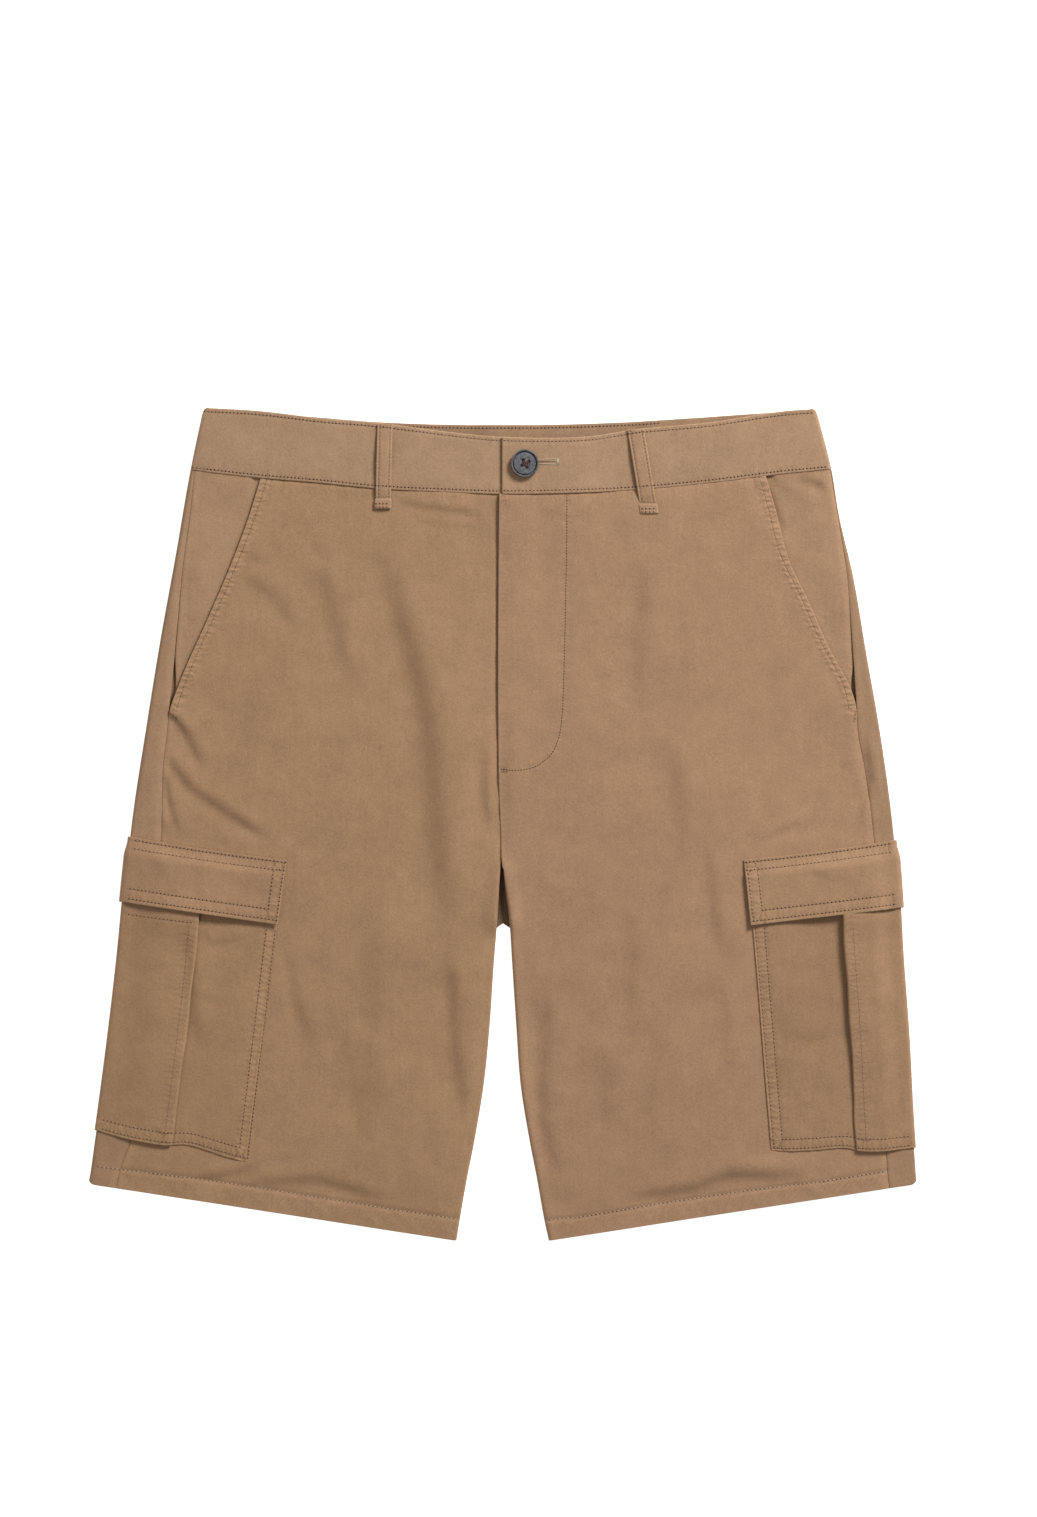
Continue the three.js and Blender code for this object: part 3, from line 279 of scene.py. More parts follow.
def value_noise(x, y, cell, seed):
    """Smooth random heights from -1 to 1 on a grid of the given cell size."""
    lattice = np.random.default_rng(seed).uniform(-1, 1, (256, 256))
    gx, gy = x / cell + 100, y / cell + 100
    ix, iy = np.floor(gx).astype(int), np.floor(gy).astype(int)
    tx, ty = gx - ix, gy - iy
    tx, ty = tx * tx * (3 - 2 * tx), ty * ty * (3 - 2 * ty)

    def line_at(row):
        return lerp(lattice[ix % 256, row % 256], lattice[(ix + 1) % 256, row % 256], tx)

    return lerp(line_at(iy), line_at(iy + 1), ty)


def to_line(x, y, path):
    """Distance from a line of points, the share of its length and the side of it (+1 or -1)."""
    best = np.full(np.shape(x), 1e9)
    along, hand = np.zeros(np.shape(x)), np.ones(np.shape(x))
    run = 0.0
    for (ax, ay), (bx, by) in zip(path[:-1], path[1:]):
        length = math.hypot(bx - ax, by - ay)
        t = np.clip(((x - ax) * (bx - ax) + (y - ay) * (by - ay)) / length ** 2, 0, 1)
        distance = np.hypot(x - lerp(ax, bx, t), y - lerp(ay, by, t))
        nearer = distance < best
        best = np.where(nearer, distance, best)
        along = np.where(nearer, (run + t * length), along)
        hand = np.where(nearer, np.sign((bx - ax) * (y - ay) - (by - ay) * (x - ax)), hand)
        run += length
    return best, along / run, hand


# Soft folds, placed from the photograph. Across each line the cloth rises from a trough to
# a crest, which is on the upper or right side: the line, the height to each side and half its width.
FOLDS = [
    ([(-86, 196), (-75, 162), (-66, 130), (-57, 98), (-51, 66), (-47, 36), (-46, 8), (-44, -20),
      (-40, -52), (-35, -104)], 2.5, 13),
    ([(-37, -80), (-34, -110), (-32, -145), (-29, -176), (-25, -210)], 1.5, 7.5),
    ([(-233, 54), (-222, 38), (-212, 25), (-200, 17), (-180, 4), (-165, -6), (-144, -22)], 1.25, 4.5),
    ([(-233, 81), (-222, 72), (-215, 62), (-208, 48), (-202, 34)], 1.2, 4),
    ([(-233, 38), (-228, 28), (-226, 15), (-222, 2), (-217, -10)], 0.8, 3.5),
    ([(-234, 8), (-229, -6), (-226, -18)], 0.5, 4),
    ([(-153, -66), (-147, -100), (-139, -125), (-126, -156)], 1.2, 7),
    ([(-86, -44), (-90, -95), (-92, -150), (-84, -210)], 1.1, 12),
    ([(-110, -130), (-102, -175), (-92, -216)], 0.9, 10),
    ([(-126, 182), (-112, 132), (-103, 86)], 1.2, 10),
    ([(-180, 174), (-154, 154), (-136, 128)], 0.8, 7),
    ([(-183, 194), (-172, 182), (-156, 176)], 0.35, 4),
    ([(-140, 214), (-128, 196), (-122, 178)], 0.3, 6),
    ([(-78, 222), (-50, 216), (-8, 211)], 0.6, 4),
    ([(-62, 208), (-40, 203), (-14, 202)], 0.3, 4),
    ([(-12, 60), (-13, 22), (-8, -10)], 1.0, 4),
    ([(-5, 58), (-1, 32), (4, 10)], 0.45, 3),
    ([(-142, -14), (-144, -38), (-149, -68)], 0.8, 5),
    ([(-214, -241), (-188, -237), (-172, -230), (-155, -216)], 1.3, 5),
    ([(-180, -243), (-125, -241), (-100, -248), (-68, -258)], 1.2, 6),
    ([(-268, -224), (-248, -232), (-232, -236)], 0.35, 5),
    ([(98, 182), (94, 130), (92, 70)], 1.1, 9),
    ([(112, 62), (122, 12), (118, -26)], 0.9, 9),
    ([(50, 190), (46, 130), (44, 80)], 0.3, 7),
    ([(86, -50), (88, -130), (84, -160)], 0.8, 9),
    ([(140, -10), (143, -50), (148, -96)], 1.0, 6),
    ([(170, -17), (186, -7), (206, 6)], 0.9, 4),
    ([(246, 64), (251, 28), (243, 4), (234, -8)], 1.0, 4),
    ([(228, 44), (240, 37)], 0.4, 4),
    ([(31, -110), (28, -165), (26, -216)], 1.3, 7),
    ([(25, -194), (37, -238)], 0.8, 7),
    ([(112, -130), (100, -190), (94, -244)], 1.0, 11),
    ([(64, -140), (76, -220)], 0.9, 11),
    ([(148, -104), (157, -172)], 0.8, 9),
    ([(76, -254), (130, -247), (152, -238), (216, -238)], 1.5, 6),
    ([(196, -243), (206, -249), (216, -256)], 0.35, 3.5),
    ([(181, 234), (187, 213), (193, 198)], 0.8, 3.5),
    ([(199, 238), (212, 233), (223, 228)], 1.1, 3.4),
    ([(134, 206), (150, 214), (168, 221)], 0.3, 5),
    ([(20, 214), (44, 210), (60, 214)], 0.25, 4),
    ([(20, -24), (30, -46), (52, -62)], 0.35, 7),
]


def relief(x, y, lines):
    """Height of the folds at a place, each one dying away at both ends of its line."""
    height = np.zeros(np.shape(x))
    for path, rise, width in lines:
        distance, along, hand = to_line(x, y, path)
        from_line = hand * distance / width
        fade = smooth(0, 0.22, along) * smooth(0, 0.3, 1 - along)
        height = height + rise * fade * 2 * from_line / (1 + from_line ** 2) * beside(from_line, 5)
    return height


def slackness(x, y):
    """Small uneven swells of loosely laid cloth, in three sizes, each slanted another way."""
    wide = value_noise(0.8 * x + 0.6 * y, 0.8 * y - 0.6 * x, 62, 4)
    middle = value_noise(x, y, 27, 5)
    small = value_noise(0.6 * x - 0.8 * y, 0.6 * y + 0.8 * x, 10, 6)
    return 0.55 * wide + 0.32 * middle + 0.10 * small


def top_z(side, x, y, fold_y):
    """Top of a leg away from its edges, with its folds and a little slackness where no pocket lies on it."""
    inward = fold_x(side, y) - x
    mouth_x, foot_y = POCKET[side]["front_x"][0], POCKET[side]["foot"][0]
    under = smooth(mouth_x - 14, mouth_x + 4, x) * smooth(foot_y - 10, foot_y + 2, y) * (1 - smooth(-14, -2, y))
    centre = np.where(y > -20, smooth(1, 8, x), smooth(0, 12, x - inseam_x(side, y)))
    below_band = read(BAND_LOWER["front"], SIDES[side] * x) - y
    edges = smooth(1, 8, inward) * centre * smooth(0, 8, below_band) * (1 - under)
    swell = (fold_top_z(side, fold_y) - BODY_HEIGHT) * (1 - smooth(26, 74, inward))
    world_x = SIDES[side] * x
    return BODY_HEIGHT + swell + (relief(world_x, y, FOLDS) + slackness(world_x, y)) * edges


def body_point(side, reach, y, fold_y, out):
    """A point off the outside of a leg; reach runs round the section from the outer fold, over zero on top."""
    low, high = underside_z(side, 0, fold_y), fold_top_z(side, fold_y)
    radius, middle = (high - low) / 2, (high + low) / 2
    quarter = radius * np.pi / 2
    angle = np.clip(reach / radius, -np.pi / 2, np.pi / 2)
    on_fold = np.abs(reach) <= quarter
    inward = radius + np.abs(reach) - quarter
    flat_x = fold_x(side, y) - inward
    x = np.where(on_fold, fold_x(side, y) - radius + (radius + out) * np.cos(angle), flat_x)
    above, below = top_z(side, flat_x, y, fold_y) + out, underside_z(side, inward, fold_y) - out
    z = np.where(on_fold, middle + (radius + out) * np.sin(angle), np.where(reach > 0, above, below))
    return np.stack(np.broadcast_arrays(SIDES[side] * x, y, z), -1)


def radius_at(side, fold_y):
    """Radius of the outer fold, whose section is half a circle."""
    return (fold_top_z(side, fold_y) - underside_z(side, 0, fold_y)) / 2


def reach_at(side, inward, fold_y):
    """Turns a distance in from the outer fold, seen from above, into one round the section."""
    radius = radius_at(side, fold_y)
    bent = radius * np.arccos(np.clip(1 - inward / radius, -1, 1))
    return np.where(inward >= radius, radius * np.pi / 2 + inward - radius, bent)


def new_piece(name, points, faces, material):
    """A smoothly shaded piece made of points in millimetres."""
    mesh = bpy.data.meshes.new(name)
    mesh.from_pydata((np.array(points, float) * MM).tolist(), [], faces)
    mesh.validate()
    mesh.polygons.foreach_set("use_smooth", np.ones(len(mesh.polygons), bool))
    mesh.materials.append(material)
    piece = bpy.data.objects.new(name, mesh)
    bpy.context.scene.collection.objects.link(piece)
    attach(piece, "root")
    return piece


def make_shell(name, net, thickness, material, flip, edge=0.45):
    """A cloth shell round a net of points on its middle surface, its cut edges rounded off."""
    net = np.asarray(net, float)
    rows, columns = net.shape[:2]
    normal = np.cross(np.gradient(net, axis=1), np.gradient(net, axis=0))
    normal /= np.maximum(np.linalg.norm(normal, axis=2, keepdims=True), 1e-9)
    if flip:
        normal = -normal

    def from_ends(line):
        """Distance of each point of a line from its nearer end."""
        run = np.concatenate([[0], np.cumsum(np.linalg.norm(np.diff(line, axis=0), axis=1))])
        return np.minimum(run, run[-1] - run)

    near = np.minimum(from_ends(net[:, columns // 2])[:, None], from_ends(net[rows // 2])[None, :])
    near = np.clip(near / edge, 0, 1)
    half = thickness / 2 * (0.3 + 0.7 * np.sqrt(1 - (1 - near) ** 2))
    outer = net + normal * half[..., None]
    inner = net - normal * half[..., None]
    count = rows * columns
    index = np.arange(count).reshape(rows, columns)
    a, b, c, d = index[:-1, :-1], index[:-1, 1:], index[1:, 1:], index[1:, :-1]
    faces = [np.stack([a, b, c, d], -1).reshape(-1, 4), np.stack([a, d, c, b], -1).reshape(-1, 4) + count]
    for first, second in ((index[0, :-1], index[0, 1:]), (index[-1, 1:], index[-1, :-1]),
                          (index[1:, 0], index[:-1, 0]), (index[:-1, -1], index[1:, -1])):
        faces.append(np.stack([first, first + count, second + count, second], -1))
    faces = np.concatenate(faces)
    if flip:
        faces = faces[:, ::-1]
    return new_piece(name, np.concatenate([outer.reshape(-1, 3), inner.reshape(-1, 3)]), faces.tolist(), material)


def mark(piece, name, outside, inside=None):
    """Keeps a value for each point of a shell for its material, the same inside unless that is given."""
    attribute = piece.data.attributes.new(name, "FLOAT", "POINT")
    inside = outside if inside is None else inside
    values = np.concatenate([np.ravel(outside), np.ravel(inside)])
    attribute.data.foreach_set("value", values.astype(np.float32))


cloth_pieces = []


def lay_cloth(piece, node, slot, flat, area=None, rests_on=()):
    """Hides the solid that a cloth piece stands for and keeps the piece with the other cloth pieces. Its slot and
    cut (width and length in metres, and area) are not used.
    """
    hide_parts(node)
    cloth_pieces.append(piece)


def cotton_twill(name, hex_colour, seed=0.0):
    """Garment-dyed cotton twill: a matt cloth with a slight sheen from its nap.

    A diagonal weave shows in it, drawn at 0.55 mm so that it can be seen. The dye is cloudy, and the
    cloth is paler where seams stand up and wear. The same kept value also holds painted highlights
    along folded edges, and painted shade in stitched grooves, in fold turns and in shaded places.
    """
    material, tree = new_material(name)
    place = add_node(tree, "ShaderNodeTexCoord").outputs["Object"]
    offset = (seed, seed * 0.7, seed * 0.3)
    shifted = add_node(tree, "ShaderNodeVectorMath", {"operation": "ADD"}, i0=place, i1=offset).outputs[0]

    def clouds(scale, detail, rough):
        return add_node(tree, "ShaderNodeTexNoise", Vector=shifted, Scale=scale, Detail=detail,
                        Roughness=rough).outputs["Fac"]

    def maths(operation, first, second):
        return add_node(tree, "ShaderNodeMath", {"operation": operation}, i0=first, i1=second).outputs[0]

    def kept(name):
        return add_node(tree, "ShaderNodeAttribute", {"attribute_name": name}).outputs["Fac"]

    def bump(height, strength, distance, **on):
        return add_node(tree, "ShaderNodeBump", Strength=strength, Distance=distance, Height=height,
                        **on).outputs[0]

    turned = add_node(tree, "ShaderNodeMapping", Vector=place, Rotation=(0, 0, math.radians(62))).outputs[0]
    weave = add_node(tree, "ShaderNodeTexWave", {"wave_type": "BANDS", "bands_direction": "X"}, Vector=turned,
                     Scale=1 / 0.00055 / 6.2832 * 2, Distortion=1.2, Detail=1.0, Detail_Scale=3.0).outputs["Fac"]
    wide, middle = clouds(9, 3, 0.55), clouds(55, 4, 0.6)
    small, grain = clouds(210, 3, 0.6), clouds(850, 2, 0.7)
    stretched = add_node(tree, "ShaderNodeMapping", Vector=place, Scale=(1, 0.12, 1)).outputs[0]
    slub = add_node(tree, "ShaderNodeTexNoise", Vector=stretched, Scale=420, Detail=2).outputs["Fac"]
    kept_wear_and_light, run, drawn = kept("wear_and_painted_light"), kept("run"), kept("drawn")
    # puckers lie about 4 mm apart along a seam, and wander
    wander = maths("ADD", maths("MULTIPLY", middle, 16.0), maths("MULTIPLY", clouds(160, 1, 0.5), 9.0))
    wave = maths("SINE", maths("ADD", maths("MULTIPLY", run, 2 * math.pi / 4.0), wander), 0.0)
    pucker = maths("MULTIPLY", wave, drawn)
    light = maths("MULTIPLY", maths("SUBTRACT", wide, 0.5), 0.20)
    for part, amount in ((middle, 0.30), (small, 0.16), (grain, 0.60), (slub, 0.12), (weave, 0.12)):
        light = maths("ADD", light, maths("MULTIPLY", maths("SUBTRACT", part, 0.5), amount))
    # the puckers are also painted paler on their crests and darker in their troughs, partly as wear and partly as
    # painted shade
    light = maths("ADD", light, maths("MULTIPLY", pucker, 0.06))
    # the kept value pales seams from wear, and also carries painted highlights on folded edges and painted shade in
    # grooves and shaded places
    light = maths("ADD", maths("ADD", light, maths("MULTIPLY", kept_wear_and_light, 0.20)), 1.0)
    base = add_node(tree, "ShaderNodeRGB")
    base.outputs[0].default_value = linear(hex_colour)
    tinted = add_node(tree, "ShaderNodeVectorMath", {"operation": "SCALE"}, i0=base.outputs[0],
                      Scale=light).outputs[0]
    threads = maths("ADD", maths("MULTIPLY", grain, 0.9), maths("MULTIPLY", slub, 0.5))
    fine = bump(maths("ADD", maths("MULTIPLY", weave, 0.5), threads), 0.35, 0.00016)
    soft = bump(middle, 0.5, 0.0009, Normal=fine)
    gathered = bump(pucker, 0.8, 0.00012, Normal=soft)
    cloth = add_node(tree, "ShaderNodeBsdfPrincipled", Base_Color=tinted, Roughness=0.88, Normal=gathered,
                     Specular_IOR_Level=0.22, Sheen_Weight=0.12, Sheen_Roughness=0.5)
    finish_material(tree, cloth.outputs[0])
    return material


def spaced(start, end, step, edge=(0.12, 0.3, 0.6)):
    """Positions from start to end about a step apart, close together at both ends."""
    way = 1 if end > start else -1
    inner = np.linspace(start + way * 1.4, end - way * 1.4, max(3, int(abs(end - start) / step)))
    near_end = (end - way * np.array(edge))[::-1]
    return np.concatenate([[start], start + way * np.array(edge), inner, near_end, [end]])


BACK_LOOP_X = (-112, 0, 112)


def loop_raise(x, y):
    """How far the back belt loops under the cloth hold it off the table."""
    raise_by = np.zeros(np.shape(x))
    for at in BACK_LOOP_X:
        raise_by = np.maximum(raise_by, 1 - smooth(9, 23.5, np.abs(x - at)))
    return (LOOP + GAP) * raise_by * smooth(176, 212, y)


def rounded(inward, radius):
    """How far a corner of this radius is drawn back at a distance in from the edge."""
    short = radius - np.clip(inward, 0, radius)
    return radius - np.sqrt(radius ** 2 - short ** 2)


# the cut of what shows of each panel: width and length in metres, and area
BACK_CUT = {"right": ((0.292, 0.520), 0.132), "left": ((0.296, 0.520), 0.134)}
# like the folds above, but on the hidden side, where the cloth can only rise off the table
BACK_FOLDS = [
    ([(-14, -60), (-60, -20), (-112, 32)], 0.8, 7),
    ([(16, -62), (58, -14), (104, 44)], 0.7, 7),
    ([(-40, 150), (-46, 90), (-38, 30)], 0.5, 8),
    ([(70, 190), (62, 130), (74, 80)], 0.6, 8),
    ([(-120, -90), (-96, -150), (-84, -215)], 0.7, 9),
    ([(128, -60), (118, -130), (96, -200)], 0.7, 9),
    ([(-190, 62), (-150, 40), (-118, 36)], 0.5, 6),
    ([(176, -10), (140, -24), (112, -50)], 0.5, 6),
]
MIDDLE = BODY_HEIGHT / 2 - CLOTH / 2
TURN = 2.4
SEAM_GAP = 0.06
SEAM_DROP, SEAM_ROLL = 0.55, 1.3
PANEL_TOP = 241.4
HEM_CORNER = 4.0
# painted shade: the back panels' twill is tinted a little darker than the fronts', for their turn round the outer
# fold
back_twill = cotton_twill("cotton_twill_back", "a17f62", 3.1)


def inner_turn(inner_x, rolled):
    """The first columns of a panel: turned over half the leg's thickness at the inseam, flat elsewhere.

    Gives their places, how far down each is turned (0 to 1) and where the flat cloth begins.
    """
    angle = across(0.05, 1, 7) * np.pi / 2
    turn_x = inner_x + lerp(angle / (np.pi / 2) * TURN, BODY_HEIGHT / 2 - MIDDLE * np.cos(angle), rolled)
    return turn_x, rolled * MIDDLE * (1 - np.sin(angle)), inner_x + lerp(TURN, BODY_HEIGHT / 2, rolled)


for side, sign in SIDES.items():
    outer_y = spaced(PANEL_TOP, ROW_HEM, 2.8)[:, None]
    row = row_at(outer_y)
    crosses = row < CROTCH_ROW
    inner_x = np.where(crosses, -0.12, meet(side, "back", row, lambda y: inseam_x(side, y)))
    turn_x, turn_lift, start = inner_turn(inner_x, np.where(crosses, 0.0, 1.0))
    edge_x = fold_x(side, outer_y)
    radius = radius_at(side, outer_y)
    quarter = radius * np.pi / 2
    flat_x = lerp(start, edge_x - radius, across(0.012, 0.994, 74))
    under_x = np.concatenate([turn_x, flat_x], 1)
    under_y = row_y(side, "back", row, under_x)
    lift = np.concatenate([turn_lift, np.zeros_like(flat_x)], 1)
    crests = np.maximum(relief(sign * under_x, under_y, BACK_FOLDS), 0)
    raised = underside_z(side, fold_x(side, under_y) - under_x, outer_y)
    low = crests + np.maximum(raised, loop_raise(sign * under_x, under_y))
    under = np.stack([sign * under_x, under_y, low + CLOTH / 2 + lift], -1)
    seam = meet(side, "front", row, lambda y: seam_x(side, y))
    seam_y = row_y(side, "front", row, seam)
    end = reach_at(side, fold_x(side, seam_y) - seam, outer_y) - SEAM_GAP
    turn_end = np.minimum(quarter, end - 1.4)
    to_end = np.array([0.12, 0.25, 0.4, 0.55, 0.7, 0.82, 0.9, 0.96, 0.985, 1])[None, :]
    reach = np.concatenate([lerp(-quarter, turn_end, across(0, 1, 12)), lerp(turn_end, end, to_end)], 1)
    on_turn = radius * (1 - np.cos(reach / radius))
    round_x = edge_x - np.where(np.abs(reach) <= quarter, on_turn, np.abs(reach) - quarter + radius)
    round_y = np.where(reach > 0, row_y(side, "front", row, round_x), row_y(side, "back", row, round_x))
    around = body_point(side, reach, round_y, outer_y, -CLOTH / 2)
    to_seam = end - reach
    around[..., 2] -= SEAM_DROP * np.exp(-to_seam / SEAM_ROLL) * smooth(-1, 1.5, reach - quarter * 0.9)
    net = np.concatenate([under, around], 1)
    from_edge = fold_x(side, net[..., 1]) - sign * net[..., 0]
    net[..., 1] += rounded(from_edge, HEM_CORNER) * (1 - smooth(-244.6, -236, outer_y))
    piece = make_shell(f"twill_back_panel_{side}", net, CLOTH, back_twill, sign < 0)
    wear_and_painted_light = np.zeros(net.shape[:2])
    # paler beside the side seam from wear; painted shade darkens the turn round the outer fold
    wear_and_painted_light[:, under.shape[1]:] = 0.5 * beside(to_seam - 2.5, 2.0) - 0.8 * (1 - smooth(0.3, 1.3, reach / quarter))
    # the inside lies in deep shade where it shows between the legs
    shade = np.zeros(net.shape[:2])
    between = smooth(-90, -74, under_y) * (1 - smooth(-20, 0, under_y))
    shade[:, :under.shape[1]] = 2.0 * (1 - smooth(7, 14, under_x)) * between
    mark(piece, "wear_and_painted_light", wear_and_painted_light, wear_and_painted_light - shade)
    lay_cloth(piece, f"back_panel_{side}", "back_twill", *BACK_CUT[side])

# Pocket facings
# The piece of twill that shows in each slanted pocket; it runs on below the front panel.
SLANT_FOOT_Y = 74.0
SLANT = {
    "right": [(235.3, 165.0), (207.1, 173.7), (175.1, 185.8), (138.6, 201.5), (103.9, 217.1), (81.3, 225.6),
              (SLANT_FOOT_Y, 227.6)],
    "left": [(236.8, 178.8), (213.2, 185.6), (180.1, 194.4), (150.6, 208.3), (119.3, 222.2), (93.5, 236.0),
             (82.9, 239.6), (SLANT_FOOT_Y, 240.9)],
}
FACING_FOOT_Y = 64
FACING_UNDER = 15
FACING_CUT, FACING_AREA = (0.062, 0.182), 0.0069
hip_twill = cotton_twill("cotton_twill_facing", "a88567", 1.7)

for side, sign in SIDES.items():
    row = spaced(-0.8, row_at(FACING_FOOT_Y) * LEG_LENGTH, 2.6)[:, None] / LEG_LENGTH
    outer_y = lerp(ROW_TOP, ROW_HEM, row)
    slant = meet(side, "front", row, lambda y: read(SLANT[side], y))
    seam = meet(side, "front", row, lambda y: seam_x(side, y))
    width = seam - slant
    tuck = lerp(seam - 3, seam, smooth(2, 12, width))
    x = lerp(slant - FACING_UNDER, tuck - 0.2, spaced(0, 60, 1.7)[None, :] / 60)
    y = row_y(side, "front", row, x)
    # the facing lies a cloth's thickness low under the pocket's edge and levels off towards the side seam
    share = np.clip((x - slant - 1) / np.maximum(width - 2, 1), 0, 1)
    level_at = lerp(0.16, 0.9, smooth(2, 26, read(BAND_LOWER["front"], sign * x) - y))
    dip = (CLOTH + GAP) * lerp(1, 1 - smooth(8, 34, width), smooth(0.04, level_at, share))
    net = body_point(side, reach_at(side, fold_x(side, y) - x, outer_y), y, outer_y, -CLOTH / 2 - dip)
    net[..., 2] -= 0.5 * np.exp(-(tuck - x) / SEAM_ROLL)
    piece = make_shell(f"twill_pocket_facing_{side}", net, CLOTH, hip_twill, sign > 0)
    # painted shadow: a dark line along the right facing's slanted edge, where the front panel's edge shades it
    shade = 1.6 * beside(x - slant - 0.3, 1.2) if side == "right" else 0
    mark(piece, "wear_and_painted_light", 0.5 * beside(tuck - x - 2.5, 2.0) * smooth(0, 6, x - slant) - shade)
    lay_cloth(piece, f"hip_piece_{side}", "hip_twill", FACING_CUT, FACING_AREA, [f"twill_back_panel_{side}"])

# Front panels
# Two panels of the same twill, the wearer's left one lapped over the right one at the fly.
# The pocket edges are turned in and topstitched, which puckers them, and the hems are turned up.
FRONT_CENTRE = {
    "right": [(230, -7.5), (30, -7.5), (-4, -4.0), (-26, 1.4), (-30, 1.6)],
    "left": [(230, -2.7), (197.5, -3.1), (84.7, -3.6), (23.5, -2.9), (-4.4, -1.7), (-26, -1.0), (-30, -0.4)],
}
# x of the waistband's lapped end and of its end below, how far the lap is raised, and its run-out
LAP_END, UNDER_END, LAP_RISE, LAP_EASE = -0.7, 38, 2.6, 46
FLY_STITCH = [(43.5, 224), (43.2, 180), (42.2, 130), (41.3, 96), (40.7, 80), (39.8, 69), (38.3, 60.5), (36.3, 54),
              (33.7, 49), (31.3, 46.2), (28.4, 43.7), (25.2, 41.2), (21.6, 39.1), (17.0, 37.7), (11.6, 36.9),
              (6.0, 36.8), (-1.7, 37)]
FLY_RUN, SLANT_RUN = 232, 175
HEM_STITCH = {
    "right": [(-281, -230.5), (-275.5, -232.8), (-209, -241), (-155.8, -249), (-96.8, -258.5), (-30.9, -268.5),
              (-27, -269.2)],
    "left": [(27, -269.6), (31.3, -268.9), (51.3, -267.2), (101.6, -259), (167.6, -249), (217.9, -242.8),
             (261.1, -235.9), (281, -232.9)],
}
FRONT_CUT = {"right": ((0.240, 0.512), 0.112), "left": ((0.250, 0.512), 0.1175)}
PANEL_ROWS = np.concatenate([
    [PANEL_TOP, 241.25, 241.0, 240.6, 240.1, 239.5], np.linspace(238.6, 66, 124), np.linspace(64, -229, 118),
    np.linspace(-230, -243.4, 12), [-244.0, -244.3, -244.48, ROW_HEM]])[:, None]
TO_OUTER_EDGE = np.array([11.5, 10, 8.8, 7.6, 6.6, 5.8, 5.1, 4.4, 3.6, 2.8, 2.0, 1.4, 1.0, 0.65, 0.4, 0.2, 0.08,
                          0])
# painted shade: the right front's twill is tinted a little darker than the left's
front_twill = {
    "right": cotton_twill("cotton_twill_front_right", "a48161", 0.4),
    "left": cotton_twill("cotton_twill_front_left", "a78365", 0.9),
}


def slant_stitch(side, inset=5.2):
    """The topstitching beside a pocket's slanted edge."""
    ys = np.linspace(240, 76, 34)
    xs = read(SLANT[side], ys)
    slope = np.gradient(xs, ys)
    scale = np.hypot(1, slope)
    return [(SIDES[side] * (a - inset / s), b - inset * m / s) for a, b, m, s in zip(xs, ys, slope, scale)]


def puckers(distance, along, pitch, height, width, seed):
    """Small ripples across a seam that has drawn the cloth up."""
    wander = 0.9 * value_noise(along, along * 0, pitch * 2.3, seed)
    strength = 0.65 + 0.35 * value_noise(along, along * 0, pitch * 5, seed + 1)
    return height * strength * np.sin(2 * np.pi * along / pitch + wander * 2.2) * beside(distance, width)


def drawn_up(piece, seams):
    """Marks how far along its nearest seam each point is, and how strongly that seam puckers the cloth there.

    seams holds (distance, run, width, strength) for each seam.
    """
    pull = np.stack([strength * beside(distance, width) for distance, run, width, strength in seams])
    runs = np.stack([run + 0 * distance for distance, run, width, strength in seams])
    nearest = pull.argmax(0)
    mark(piece, "run", np.take_along_axis(runs, nearest[None], 0)[0])
    mark(piece, "drawn", pull.max(0))


